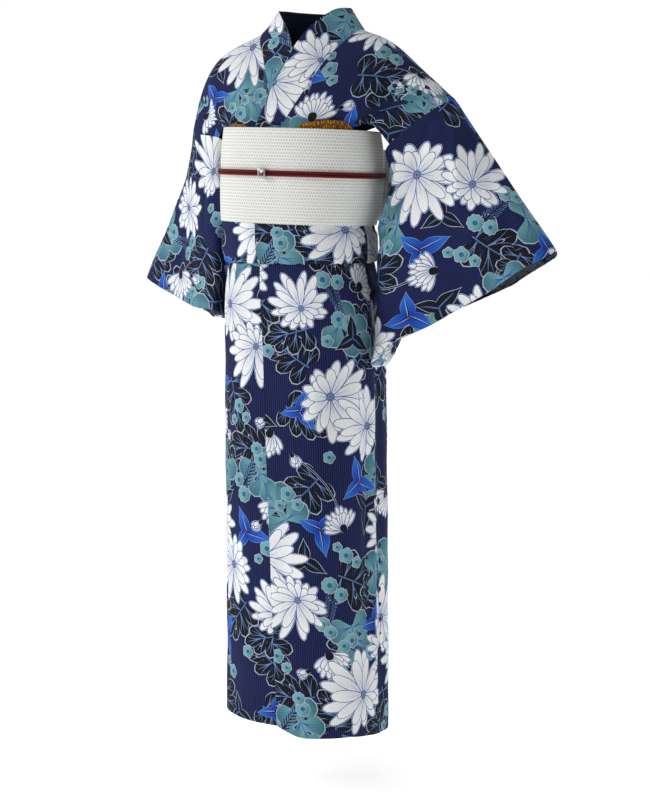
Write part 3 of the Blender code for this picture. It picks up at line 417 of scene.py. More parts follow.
class CubicSheet:
    """A smooth surface through a grid of points, read at shares across and down."""

    def __init__(self, grid: np.ndarray) -> None:
        """Keep the grid and its slopes.

        Args:
            grid: Rows and columns of points, flat or in space.
        """
        self.grid = np.asarray(grid, float)
        self.rows, self.cols = self.grid.shape[:2]
        self.down = self.slopes(self.grid)
        self.across = self.slopes(self.grid.transpose(1, 0, 2)).transpose(1, 0, 2)

    @staticmethod
    def slopes(grid: np.ndarray) -> np.ndarray:
        """Slopes down a grid, kept short beside a short step."""
        slope = np.gradient(grid, axis=0)
        step = np.linalg.norm(np.diff(grid, axis=0), axis=2, keepdims=True)
        least = np.concatenate([step[:1], np.minimum(step[:-1], step[1:]), step[-1:]])
        size = np.maximum(np.linalg.norm(slope, axis=2, keepdims=True), 1e-12)
        return slope * np.minimum(1.0, 1.6 * least / size)

    def at(self, s: np.ndarray, t: np.ndarray) -> np.ndarray:
        """Points of the surface.

        Args:
            s: Shares across, 0 to 1.
            t: Shares down, 0 to 1.

        Returns:
            One point for each pair of shares.
        """
        x = np.clip(s, 0.0, 1.0) * (self.cols - 1)
        y = np.clip(t, 0.0, 1.0) * (self.rows - 1)
        i = np.minimum(x.astype(int), self.cols - 2)
        j = np.minimum(y.astype(int), self.rows - 2)
        u, v = hermite((x - i)[:, None]), hermite((y - j)[:, None])
        total = np.zeros((len(x), self.grid.shape[2]))
        for a in (0, 1):
            for b in (0, 1):
                col, row = i + a, j + b
                total += u[2 * a] * v[2 * b] * self.grid[row, col]
                total += u[2 * a + 1] * v[2 * b] * self.across[row, col]
                total += u[2 * a] * v[2 * b + 1] * self.down[row, col]
        return total

    def sampled(self, rows: int, cols: int) -> np.ndarray:
        """The surface as an even grid of rows and columns."""
        s, t = np.meshgrid(np.linspace(0, 1, cols), np.linspace(0, 1, rows))
        return self.at(s.ravel(), t.ravel()).reshape(rows, cols, -1)


def flatten(points: np.ndarray, rounds: int, stride: float = 1.6) -> np.ndarray:
    """Lay a grid of points flat with its lengths kept as well as they can be.

    Args:
        points: Rows and columns of points in space.
        rounds: How often the lengths are evened out.
        stride: How far a round goes, 1 being a full correction.

    Returns:
        The same grid in the plane, u across and v down.
    """
    rows, cols = points.shape[:2]
    flat = np.zeros((rows, cols, 2))
    widths = np.linalg.norm(np.diff(points, axis=1), axis=2)
    across = np.concatenate([np.zeros((rows, 1)), np.cumsum(widths, axis=1)], axis=1)
    flat[..., 0] = across - across[:, cols // 2:cols // 2 + 1]
    heights = np.linalg.norm(np.diff(points, axis=0), axis=2).mean(axis=1)
    flat[..., 1] = np.concatenate([[0.0], np.cumsum(heights)])[:, None]
    links = []
    for down, side in ((0, 1), (1, 0), (1, 1), (1, -1)):
        a = (slice(0, rows - down), slice(max(0, -side), cols - max(0, side)))
        b = (slice(down, rows), slice(max(0, side), cols + min(0, side)))
        links.append((a, b, np.linalg.norm(points[b] - points[a], axis=2)))
    count = np.zeros((rows, cols, 1))
    for a, b, _ in links:
        count[a] += 1
        count[b] += 1
    for _ in range(rounds):
        push = np.zeros_like(flat)
        for a, b, rest in links:
            gap = flat[b] - flat[a]
            long = np.linalg.norm(gap, axis=2)
            move = gap * (0.5 * (long - rest) / np.maximum(long, 1e-9))[..., None]
            push[a] += move
            push[b] -= move
        flat += push / count * stride
    return flat


def coons(top: Sequence, foot: Sequence, inner: Callable, outer: Callable, s: np.ndarray,
          t: np.ndarray) -> np.ndarray:
    """A patch between four edge curves.

    Args:
        top: Table of the top edge.
        foot: Table of the lower edge.
        inner: Curve of the first side edge.
        outer: Curve of the second side edge.
        s: Shares across.
        t: Shares from top to foot.

    Returns:
        Rows and columns of points.
    """
    top_row, foot_row = through(top, s), through(foot, s)
    inner_col, outer_col = inner(t), outer(t)
    s, t = s[None, :, None], t[:, None, None]
    corners = ((1 - s) * (1 - t) * top_row[0] + s * (1 - t) * top_row[-1]
               + (1 - s) * t * foot_row[0] + s * t * foot_row[-1])
    return ((1 - s) * inner_col[:, None] + s * outer_col[:, None]
            + (1 - t) * top_row[None] + t * foot_row[None] - corners)


def relax(points: np.ndarray, passes: int) -> np.ndarray:
    """Even out the inside of a grid and leave its edges where they are."""
    for _ in range(passes):
        around = (points[:-2, 1:-1] + points[2:, 1:-1] + points[1:-1, :-2] + points[1:-1, 2:]) / 4
        points = points.copy()
        points[1:-1, 1:-1] += 0.5 * (around - points[1:-1, 1:-1])
    return points


def trim(points: np.ndarray, first: float, last: float) -> np.ndarray:
    """Draw the two side edges of a grid in along the cloth, by a distance each."""
    points = points.copy()
    points[:, 0] += unit(points[:, 1] - points[:, 0]) * first
    points[:, -1] += unit(points[:, -2] - points[:, -1]) * last
    return points


def collar_line(rows: Sequence, share: np.ndarray, side: int) -> np.ndarray:
    """Points of a collar line; the wearer's right side sinks under the left."""
    points = through(rows, share)
    if side < 0:
        points = points * np.array([-1.0, 1.0, 1.0])
        points[:, 1] += line_at(UNDERLAP, np.asarray(share))
    return points


def front_edge(side: int) -> Callable:
    """Inner edge of a front: the collar's seam from the neck point to the sash."""
    return lambda t: collar_line(COLLAR_SEAM, NECK_POINT + (1 - NECK_POINT) * np.asarray(t), side)


def back_edge(side: int) -> Callable:
    """Inner edge of a back: round the collar's seam, then down the middle."""
    def line(t: np.ndarray) -> np.ndarray:
        """The edge at shares of its length."""
        t = np.asarray(t, float)
        neck = collar_line(COLLAR_SEAM, NECK_POINT * (1 - np.minimum(t / COLLAR_SHARE, 1.0)), side)
        down = through(CENTRE_BACK, np.maximum((t - COLLAR_SHARE) / (1 - COLLAR_SHARE), 0.0))
        return np.where((t < COLLAR_SHARE)[:, None], neck, down)
    return line


def upper_body_form(side: int) -> np.ndarray:
    """Grid of one body length, from the front's foot over the shoulder to the back's foot."""
    if side > 0:
        ridge, front_foot, back_foot = LEFT_RIDGE, LEFT_FRONT_FOOT, LEFT_BACK_FOOT
        front_armhole, back_armhole = LEFT_SLEEVE_FRONT[0], LEFT_SLEEVE_BACK[0]
    else:
        ridge, front_foot, back_foot = RIGHT_RIDGE, RIGHT_FRONT_FOOT, RIGHT_BACK_FOOT
        front_armhole, back_armhole = RIGHT_SLEEVE_FRONT[0], RIGHT_SLEEVE_BACK[0]
    s = np.linspace(0.0, 1.0, 11)
    by_collar = np.linspace(0.0, COLLAR_SHARE, NECK_ROWS)
    t_back = np.concatenate([by_collar, np.linspace(COLLAR_SHARE, 1.0, 6)[1:]])
    front = coons(ridge, front_foot, front_edge(side), lambda t: through(front_armhole, ARMHOLE * t),
                  s, np.linspace(0.0, 1.0, FRONT_ROWS))
    back = coons(ridge, back_foot, back_edge(side), lambda t: through(back_armhole, ARMHOLE * t),
                 s, t_back)
    return trim(relax(np.concatenate([front[::-1], back[1:]]), 2), 0.0, -0.0006)


def collar_form() -> np.ndarray:
    """Grid of the collar from its left end, round the neck, to its right end."""
    round_neck = np.linspace(0.0, NECK_POINT, NECK_ROWS)
    left = np.concatenate([round_neck, np.linspace(NECK_POINT, 1.0, FRONT_ROWS)[1:]])
    rows = []
    for k in np.concatenate([-left[::-1], left[1:]]):
        side = 1 if k >= 0 else -1
        seam = collar_line(COLLAR_SEAM, np.array([abs(k)]), side)[0]
        edge = collar_line(COLLAR_EDGE, np.array([abs(k)]), side)[0]
        rows.append(seam + (edge - seam) * np.linspace(0.0, 1.0, 4)[:, None])
    return trim(np.array(rows), -0.0014, 0.0)


def sleeve_form(front_layer: Sequence, back_layer: Sequence) -> np.ndarray:
    """Grid of a sleeve: across from armhole to cuff, down from foot over the top fold to foot.

    Args:
        front_layer: The front's three section tables.
        back_layer: The back's three section tables.

    Returns:
        Rows round the fall of the sleeve, columns from armhole to cuff, with a last
        column that turns in at the open cuff and meets the other layer where it is sewn.
    """
    s = np.linspace(0.0, 1.0, 17)
    t = np.interp(np.linspace(0, 1, 42), np.linspace(0, 1, len(SLEEVE_STEPS)), SLEEVE_STEPS)
    layers = []
    for layer in (front_layer, back_layer):
        lines = np.array([through(section, t) for section in layer]).reshape(3, -1)
        table = np.concatenate([np.array([[0.0], [0.5], [1.0]]), lines], axis=1)
        layers.append(through(table, s).reshape(len(s), len(t), 3).transpose(1, 0, 2))
    front, back = layers
    middle = (front + back) / 2
    cuff = []
    for layer in (front, back):
        edge, along = layer[:, -1], unit(layer[:, -1] - layer[:, -2])
        inwards = unit(middle[:, -1] - edge + 1e-9)
        turned = edge + along * 0.0004 + inwards * 0.0022
        sewn = (t >= CUFF_OPEN)[:, None]
        cuff.append(np.where(sewn, middle[:, -1] + along * 0.0015, turned))
    cuff[0][0] = cuff[1][0] = front[0, -1] + unit(front[0, -1] - front[0, -2]) * 0.0008
    front = np.concatenate([front, cuff[0][:, None]], axis=1)
    back = np.concatenate([back, cuff[1][:, None]], axis=1)
    foot = (front[-1:] + back[-1:]) / 2
    return np.concatenate([foot, front[::-1], back[1:], foot])


def fold_depth(shares: np.ndarray, height: float) -> np.ndarray:
    """Depth of the skirt's upright folds at one height."""
    depth = np.zeros(len(shares))
    for place, width, deep, top, foot in SKIRT_FOLDS:
        fade = smoothstep(-top, -top + FOLD_FADE, -height)
        fade *= 1 - 0.4 * smoothstep(-foot - 0.1, -foot + 0.1, -height)
        depth += deep * fade * np.exp(-((shares - place) / width) ** 2)
    return depth


def soft_folds(shares: np.ndarray, height: float, table: Sequence[Sequence[float]]) -> np.ndarray:
    """Depth of small folds that wander as they fall.

    Args:
        shares: Places round the body.
        height: Where the row lies.
        table: Place, drift for each metre of fall, width, depth, top and foot of each fold.

    Returns:
        A depth for each place.
    """
    depth = np.zeros(len(shares))
    for place, drift, width, deep, top, foot in table:
        middle = place + drift * (top - height)
        reach = max(0.2 * (top - foot), 0.004)
        fade = smoothstep(-top, -top + reach, -height)
        fade *= 1 - smoothstep(-foot - reach, -foot, -height)
        depth += deep * fade * np.exp(-((shares - middle) / width) ** 2)
    return depth


def fixed(share: float) -> Callable[[float], float]:
    """An upright line, at the same share of half the girth at every height."""
    return lambda height: share


def tube_form(table: Sequence, places: np.ndarray, first: Callable, last: Callable, columns: int,
              push: Callable) -> np.ndarray:
    """Grid of a panel that goes round the body.

    Args:
        table: The body's sections.
        places: Where in the table each row lies.
        first: Share of half girth of the panel's first edge, from a height.
        last: The same for its second edge.
        columns: How many columns.
        push: How far out of the section each point lies, from shares and a height.

    Returns:
        Rows and columns of points.
    """
    grid = []
    for place in places:
        section = section_at(table, place)
        shares = np.linspace(first(section[0]), last(section[0]), columns)
        points = ring(section, shares)
        away = unit(points[:, :2] - section[3:5])
        points[:, :2] += away * push(shares, section[0])[:, None]
        grid.append(points)
    return np.array(grid)


def hemmed(grid: np.ndarray, heights: np.ndarray) -> np.ndarray:
    """A skirt grid, stretched downwards so that its last row lies on the hem."""
    grid = grid.copy()
    top = grid[0, :, 2].copy()
    grid[:, :, 2] = top + (grid[:, :, 2] - top) / (grid[-1, :, 2] - top) * (heights - top)
    return grid


def obi_point(height: float, shares: np.ndarray, grow: float = 0.0) -> np.ndarray:
    """Outer points of the sash at one height, a little lower at the left side."""
    points = ring(section_at(OBI_SECTIONS, place_of_height(OBI_SECTIONS, height)), shares, grow)
    points[:, 2] -= SASH_TILT * points[:, 0]
    return points


@dataclass(frozen=True)
class Paint:
    """A dye: one colour, or a change from one colour to another along a line."""

    near: tuple[float, float, float]
    far: Optional[tuple[float, float, float]] = None
    start: tuple[float, float] = (0.0, 0.0)
    reach: tuple[float, float] = (1.0, 0.0)

    def colours(self, points: np.ndarray) -> np.ndarray:
        """Colours of this dye at points of the bolt.

        Args:
            points: Places on the bolt, in millimetres.

        Returns:
            Linear red, green and blue for each point.
        """
        near = np.array(self.near)
        if self.far is None:
            return np.tile(near, (len(points), 1))
        reach = np.array(self.reach)
        share = (points - np.array(self.start)) @ reach / float(reach @ reach)
        share = np.clip(share, 0.0, 1.0)[:, None]
        return near + (np.array(self.far) - near) * share

    def along(self, start: Sequence[float], end: Sequence[float]) -> "Paint":
        """The same dye, changing from one place to another; a plain one stays as it is."""
        if self.far is None:
            return self
        reach = np.asarray(end, float) - np.asarray(start, float)
        return Paint(self.near, self.far, tuple(start), tuple(reach))


@dataclass(frozen=True)
class Dyes:
    """The dyes of the print."""

    ground: Paint = Paint(linear(22, 30, 74))
    reverse: Paint = Paint(linear(20, 34, 58))
    white: Paint = Paint(linear(206, 212, 222), linear(243, 244, 242))
    line: Paint = Paint(linear(46, 84, 158))
    soft_line: Paint = Paint(linear(120, 142, 184))
    halo: Paint = Paint(linear(172, 184, 206))
    black: Paint = Paint(linear(17, 18, 21))
    vein: Paint = Paint(linear(104, 138, 196))
    deep_vein: Paint = Paint(linear(48, 92, 170))
    teal: Paint = Paint(linear(116, 168, 174), linear(54, 108, 120))
    blue: Paint = Paint(linear(14, 52, 160), linear(44, 112, 214))
    cream: Paint = Paint(linear(206, 206, 184))
    disc: Paint = Paint(linear(132, 142, 156))
    dot: Paint = Paint(linear(26, 68, 168))


@dataclass(frozen=True)
class LeafDress:
    """How a leaf is dyed: its rim, its lobes and its veins."""

    rim: Paint
    fill: Paint
    vein: Paint
    rib: Paint


@dataclass(frozen=True)
class Shape:
    """One dyed area of the bolt."""

    outline: np.ndarray
    paint: Paint

    def moved(self, down: float) -> "Shape":
        """The same area further along the bolt."""
        start = (self.paint.start[0], self.paint.start[1] + down)
        return Shape(self.outline + np.array([0.0, down]), replace(self.paint, start=start))


def spun(points: np.ndarray, angle: float, centre: Sequence[float]) -> np.ndarray:
    """Points turned about the start and moved to a centre."""
    c, s = math.cos(angle), math.sin(angle)
    return points @ np.array([[c, s], [-s, c]]) + np.asarray(centre, float)


def petal(length: float, width: float, bend: float = 0.0, root: float = 0.16, tip: float = 5.0,
          count: int = 8, start: float = 0.0) -> np.ndarray:
    """Outline of a petal that starts at 0 and points along u.

    Args:
        length: From root to tip.
        width: At its widest.
        bend: Sideways drift of the tip, as a share of the length.
        root: Width at the root, as a share of the width.
        tip: How blunt the tip is.
        count: Points on each side.
        start: Where its root lies along u.

    Returns:
        The outline.
    """
    t = 1.0 - (1.0 - np.linspace(0.0, 1.0, count)) ** 1.5
    half = width / 2 * (root + (1 - root) * np.sin(math.pi / 2 * np.minimum(t / 0.72, 1.0)))
    half *= np.sqrt(np.maximum(1.0 - t ** tip, 0.0))
    u = start + t * (length - start)
    middle = bend * length * (u / length) ** 2
    upper = np.stack([u, middle + half], axis=1)
    lower = np.stack([u, middle - half], axis=1)[-2::-1]
    return np.concatenate([upper, lower])


def strip(path: np.ndarray, widths: Sequence[float]) -> np.ndarray:
    """Outline of a line whose width changes along it.

    Args:
        path: Points of the line.
        widths: Its width at each point.

    Returns:
        The outline.
    """
    path = np.asarray(path, float)
    along = unit(np.gradient(path, axis=0))
    side = np.stack([-along[:, 1], along[:, 0]], axis=1) * (np.asarray(widths, float)[:, None] / 2)
    return np.concatenate([path + side, (path - side)[::-1]])


def bent_path(length: float, bend: float, count: int = 6, start: float = 0.0) -> np.ndarray:
    """A line along u that drifts sideways towards its end."""
    u = np.linspace(start, length, count)
    return np.stack([u, bend * length * (u / length) ** 2], axis=1)


@dataclass
class Bolt:
    """One repeat of the printed cloth: a width of bolt by the length of the repeat."""

    repeat: float = 1010.0
    margin: float = 150.0    # no dyed area reaches further along the bolt from its place
    grow: float = 1.12       # of the open chrysanthemums
    dyes: Dyes = field(default_factory=Dyes)
    shapes: list[Shape] = field(default_factory=list)
    steps: np.ndarray = field(default_factory=lambda: np.zeros((0, 2, 2)))
    # Open chrysanthemums: u, v, radius, side that leans away in degrees, lean
    blooms: tuple = (
        (232, 92, 66, 200, 0.30), (316, 150, 58, 20, 0.34), (92, 388, 66, 160, 0.26),
        (160, 462, 54, -60, 0.34), (286, 640, 69, 30, 0.28), (352, 566, 50, 120, 0.30),
        (84, 866, 62, -20, 0.30), (26, 792, 48, 200, 0.24), (366, 352, 50, 80, 0.30),
        (188, 946, 48, 70, 0.32),
    )
    # Half open ones: u, v, radius, direction in degrees
    half_blooms: tuple = (
        (118, 158, 46, 118), (214, 560, 46, 70), (196, 742, 48, 100), (306, 912, 50, -40),
        (34, 590, 44, 60), (250, 330, 42, -120),
    )
    # Buds: u, v, length, direction
    buds: tuple = (
        (158, 196, 26, 60), (84, 196, 24, 160), (250, 588, 24, 20), (176, 592, 24, 150),
        (236, 772, 25, 30), (160, 778, 24, 140), (344, 884, 25, -10), (290, 870, 24, -80),
        (66, 622, 23, 20),
    )
    # Black lobed leaves: u, v, length, direction
    dark_leaves: tuple = (
        (196, 40, 84, -150), (282, 40, 76, -40), (30, 96, 92, 60), (40, 286, 104, 20),
        (206, 236, 92, 130), (330, 214, 88, 60), (236, 414, 112, 20), (20, 470, 92, 100),
        (186, 640, 100, 170), (92, 520, 92, 70), (360, 690, 92, 130), (226, 700, 84, -100),
        (120, 930, 92, 130), (30, 930, 82, 100), (306, 782, 104, 60), (226, 836, 96, 20),
        (344, 990, 80, 200), (306, 470, 70, -60), (100, 700, 78, -140), (150, 110, 80, 30),
        (10, 640, 80, 40), (280, 560, 76, -150), (200, 980, 80, 160), (372, 900, 80, 170),
    )
    # Teal ones
    teal_leaves: tuple = (
        (352, 226, 82, 110), (146, 318, 90, -130), (258, 506, 92, 70), (66, 672, 86, 120),
        (322, 420, 80, -10), (150, 668, 80, 60), (360, 838, 84, 100), (252, 972, 86, 30),
        (20, 210, 76, 70),
    )
    # Blue three pointed bells: u, v, reach, direction
    bells: tuple = (
        (286, 248, 44, 20), (206, 330, 42, 80), (34, 540, 42, -20), (326, 512, 40, 50),
        (128, 800, 44, 10), (44, 1000, 42, 70), (362, 78, 40, 0), (176, 118, 36, 50),
        (268, 736, 38, 100), (370, 940, 40, 40),
    )
    # Black ones
    dark_bells: tuple = (
        (308, 296, 44, 100), (176, 388, 38, 30), (346, 756, 40, 60), (92, 132, 36, 20),
        (56, 748, 38, 90), (280, 1000, 40, 30),
    )
    # Small blossoms: u, v, radius
    blossoms: tuple = (
        (148, 268, 13), (166, 286, 10), (132, 290, 9), (252, 378, 13), (274, 392, 10), (236, 362, 8),
        (18, 152, 12), (40, 168, 9), (338, 540, 11), (116, 570, 12), (134, 590, 9), (100, 596, 8),
        (170, 826, 13), (190, 812, 9), (152, 846, 8), (296, 846, 12), (318, 860, 9), (20, 700, 12),
        (8, 722, 9), (226, 200, 10), (70, 60, 12), (52, 44, 9), (334, 20, 11), (230, 1004, 10),
        (364, 450, 11), (350, 468, 8), (120, 12, 11),
    )
    # Fringed blossoms on needled twigs: u, v, length of twig, direction
    twigs: tuple = (
        (226, 440, 70, 100), (120, 720, 74, -60), (364, 150, 60, 100), (240, 900, 70, 70),
        (60, 330, 60, -60), (300, 570, 56, -150),
    )

    def add(self, outline: np.ndarray, paint: Paint) -> None:
        """Dye one more area over the others."""
        self.shapes.append(Shape(np.asarray(outline, float), paint))

    def disc(self, centre: Sequence[float], radius: float, paint: Paint, count: int) -> None:
        """Dye a round spot."""
        angle = np.linspace(0, 2 * math.pi, count, endpoint=False)
        spot = np.stack([np.cos(angle), np.sin(angle)], axis=1) * radius
        self.add(spot + np.asarray(centre, float), paint)

    def one_petal(self, centre: Sequence[float], angle: float, length: float, width: float,
                  bend: float) -> None:
        """Dye a white petal with its blue outline and its short vein."""
        self.add(spun(petal(length, width, bend), angle, centre), self.dyes.line)
        tip = spun(np.array([[length, 0.0]]), angle, centre)[0]
        inner = petal(length - 1.3, width - 2.5, bend, start=length * 0.06)
        self.add(spun(inner, angle, centre), self.dyes.white.along(centre, tip))
        path = bent_path(length * 0.52, bend * 0.5, 4, length * 0.16)
        self.add(spun(strip(path, (0.9, 0.8, 0.6, 0.2)), angle, centre), self.dyes.soft_line)

    def petals(self, centre: Sequence[float],
               petals: Sequence[tuple[float, float, float, float]]) -> None:
        """Dye the pale rims of a flower's petals, and then the petals one over the other."""
        for angle, length, width, bend in petals:
            self.add(spun(petal(length + 1.1, width + 2.0, bend), angle, centre), self.dyes.halo)
        for angle, length, width, bend in petals:
            self.one_petal(centre, angle, length, width, bend)

    def bloom(self, u: float, v: float, radius: float, lean: float, tilt: float) -> None:
        """Dye an open chrysanthemum: two rings of petals round a dotted disc."""
        rng = np.random.default_rng(int(u * 7 + v * 13))
        away = math.radians(lean)
        found = []
        for count, reach, wide, turn in ((13, 1.0, 0.30, 0.0), (11, 0.77, 0.29, 0.5)):
            ring_petals = []
            for k in range(count):
                angle = 2 * math.pi * (k + turn + rng.uniform(-0.16, 0.16)) / count
                far = 1.0 - tilt * math.cos(angle - away)
                length = self.grow * radius * reach * far * rng.uniform(0.93, 1.05)
                width = self.grow * radius * wide * (0.72 + 0.28 * far) * rng.uniform(0.88, 1.08)
                ring_petals.append((angle, length, width, rng.uniform(-0.12, 0.12)))
            order = rng.permutation(count)
            found += [ring_petals[k] for k in order]
        self.petals((u, v), found)
        self.disc((u, v), radius * 0.125, self.dyes.line, 12)
        self.disc((u, v), radius * 0.108, self.dyes.disc, 12)
        for k in range(9):
            angle = 2 * math.pi * k / 9
            spot = (u + radius * 0.078 * math.cos(angle), v + radius * 0.078 * math.sin(angle))
            self.disc(spot, radius * 0.02, self.dyes.dot, 5)
        self.disc((u, v), radius * 0.03, self.dyes.dot, 6)

    def fan(self, u: float, v: float, radius: float, direction: float, spread: float,
            counts: Sequence[int], wide: float) -> None:
        """Dye a half open flower: a fan of petals out of a dark cup.

        Args:
            u: Cup's place across the bolt.
            v: Cup's place along the bolt.
            radius: Length of the petals.
            direction: Where the flower points, in degrees.
            spread: Half of the fan's angle, in degrees.
            counts: Petals in the rear and in the front row.
            wide: Width of a petal as a share of its length.
        """
        rng = np.random.default_rng(int(u * 5 + v * 11))
        found = []
        for row, count in enumerate(counts):
            for k in range(count):
                turn = (k + 0.5) / count * 2 - 1
                aim = direction + spread * turn * (1.0 - 0.25 * row) + rng.uniform(-3, 3)
                angle = math.radians(aim)
                length = radius * (1.0 - 0.20 * row) * (1.0 - 0.18 * turn ** 2)
                length *= rng.uniform(0.92, 1.05)
                found.append((angle, length, radius * wide * rng.uniform(0.9, 1.08), -0.14 * turn))
        self.petals((u, v), found)
        base = petal(radius * 0.34, radius * 0.34, root=0.7)
        turn = math.radians(direction)
        start = (u - math.cos(turn) * radius * 0.12, v - math.sin(turn) * radius * 0.12)
        self.add(spun(base * 1.12, turn, start), self.dyes.halo)
        self.add(spun(base, turn, start), self.dyes.black)

    def leaf(self, u: float, v: float, length: float, direction: float, dress: LeafDress,
             lobes: Sequence[tuple[float, float, float, float]]) -> None:
        """Dye a lobed leaf.

        Args:
            u: Foot of the leaf across the bolt.
            v: Foot of the leaf along the bolt.
            length: Of its middle rib.
            direction: Where it points, in degrees.
            dress: Its dyes.
            lobes: Place on the rib, side angle, length and width of each lobe, as shares of the
                leaf's length.
        """
        def laid(points: np.ndarray, angle: float = 0.0,
                 foot: Sequence[float] = (0.0, 0.0)) -> np.ndarray:
            """Points turned and moved on the leaf, and with it to its place on the bolt."""
            return spun(spun(points, angle, foot), math.radians(direction), (u, v))

        rib = bent_path(length * 0.78, 0.10, 8)
        heart = petal(length * 0.80, length * 0.20, 0.10, root=0.5, tip=3.0)
        self.add(laid(heart), dress.fill.along((u, v), laid(np.array([[length, 0.0]]))[0]))
        veins = []
        for place, side, reach, wide in lobes:
            foot = np.array([place * length, 0.10 * length * (place / 0.78) ** 2 * 0.78])
            long, broad = reach * length, wide * length
            angle = np.linspace(-math.pi, math.pi, 26, endpoint=False)
            x = long * 0.52 + long * 0.50 * np.cos(angle)
            y = broad * 0.5 * np.sin(angle) * (0.42 + 0.58 * smoothstep(0.0, 0.5, x / long))
            wave = 1.0 + 0.016 * np.cos(9 * angle) * smoothstep(0.35, 0.7, x / long)
            lobe = np.stack([x * wave, y * wave], axis=1)
            tilt = math.radians(side)
            self.add(laid(lobe * (1 + 2.0 / long), tilt, foot), dress.rim)
            tip = laid(np.array([[long, 0.0]]), tilt, foot)[0]
            self.add(laid(lobe, tilt, foot), dress.fill.along(laid(foot[None])[0], tip))
            for fan_turn in (-0.30, 0.0, 0.30):
                path = bent_path(long * 0.86, fan_turn, 5, long * 0.05)
                veins.append(laid(strip(path, (1.5, 1.3, 1.1, 0.8, 0.3)), tilt, foot))
        for outline in veins:
            self.add(outline, dress.vein)
        self.add(laid(strip(rib, np.linspace(2.6, 1.0, 8))), dress.vein)
        self.add(laid(strip(rib, np.linspace(1.3, 0.3, 8))), dress.rib)
        eye = petal(length * 0.13, length * 0.055, root=0.3, tip=3.0, count=5)
        for place, offset, tilt in ((0.34, 0.13, 60), (0.58, -0.02, -40)):
            spot = np.array([place * length, offset * length])
            self.add(laid(eye * 1.22, math.radians(tilt), spot), dress.rim)
            self.add(laid(eye, math.radians(tilt), spot + 0.4), self.dyes.ground)

    def bell(self, u: float, v: float, reach: float, direction: float, fill: Paint, rim: Paint,
             vein: Paint, streak: Paint) -> None:
        """Dye a three pointed bellflower with its forked vein."""
        lobes = [(math.radians(direction + side), size)
                 for side, size in ((0.0, 1.0), (122.0, 0.86), (238.0, 0.92))]
        t = np.linspace(0, 1, 9)
        half = 0.29 * (0.55 + 0.45 * np.sin(math.pi * np.minimum(t / 0.9, 1.0))) * (1 - t ** 2.2)
        lens = np.concatenate([np.stack([t, half], axis=1), np.stack([t, -half], axis=1)[-2::-1]])
        for turn, size in lobes:
            grown = lens * np.array([reach * size + 2.2, reach * size + 3.0])
            self.add(spun(grown, turn, (u, v)), rim)
        for turn, size in lobes:
            tip = (u + math.cos(turn) * reach * size, v + math.sin(turn) * reach * size)
            self.add(spun(lens * reach * size, turn, (u, v)), fill.along((u, v), tip))
        for turn, size in lobes:
            path = bent_path(reach * size * 0.74, 0.03, 5)
            self.add(spun(strip(path, (2.4, 1.9, 1.4, 0.9, 0.3)), turn, (u, v)), vein)
            light = strip(path + np.array([0.0, 1.5]), (0.3, 0.9, 0.8, 0.6, 0.2))
            self.add(spun(light, turn, (u, v)), streak)

    def blossom(self, u: float, v: float, radius: float, petals: int = 5, depth: float = 0.16) -> None:
        """Dye a small round-petalled blossom with a blue ring at its centre."""
        angle = np.linspace(0, 2 * math.pi, 5 * petals, endpoint=False)
        wave = 1.0 - depth + depth * np.abs(np.cos(angle * petals / 2)) * 1.4
        outline = np.stack([np.cos(angle), np.sin(angle)], axis=1) * (radius * wave)[:, None]
        centre = np.array([u, v])
        self.add(outline * (1 + 1.3 / radius) + centre, self.dyes.halo)
        end = centre + np.array([radius * 1.1, radius * 0.6])
        self.add(outline + centre, self.dyes.teal.along(centre, end))
        self.disc(centre, radius * 0.34, self.dyes.line, 8)
        self.disc(centre + 0.3, radius * 0.17, self.dyes.teal, 6)

    def twig(self, u: float, v: float, length: float, direction: float) -> None:
        """Dye a needled twig with four fringed blossoms."""
        turn = math.radians(direction)
        for k in range(9):
            place = length * (0.08 + 0.10 * k)
            for side in (-1, 1):
                angle = side * math.radians(52 - 2 * k)
                long = 17 - 0.8 * k
                for more, width, paint in ((1.2, 4.6, self.dyes.vein), (0.0, 3.1, self.dyes.black)):
                    needle = petal(long + more, width, side * -0.16, root=0.35, tip=2.5, count=4)
                    self.add(spun(spun(needle, angle, (place, 0.0)), turn, (u, v)), paint)
        stem = strip(bent_path(length * 1.05, 0.04, 6), np.linspace(2.6, 1.0, 6))
        self.add(spun(stem, turn, (u, v)), self.dyes.black)
        spots = ((0.1, -16, 12.0), (-0.10, 8, 14.0), (0.95, 10, 13.0), (1.12, -6, 11.0))
        for place, side, radius in spots:
            spot = spun(np.array([[place * length, side]]), turn, (u, v))[0]
            self.blossom(float(spot[0]), float(spot[1]), radius, 9, 0.10)

    def stem(self, start: Sequence[float], end: Sequence[float], bend: float) -> None:
        """Dye a thin black stem with pale edges."""
        gap = np.asarray(end, float) - np.asarray(start, float)
        long, turn = float(np.hypot(*gap)), math.atan2(gap[1], gap[0])
        u = np.linspace(0, long, 7)
        path = np.stack([u, bend * long * np.sin(math.pi * u / long)], axis=1)
        for width, paint in ((3.6, self.dyes.halo), (2.1, self.dyes.black)):
            self.add(spun(strip(path, np.full(7, width)), turn, start), paint)

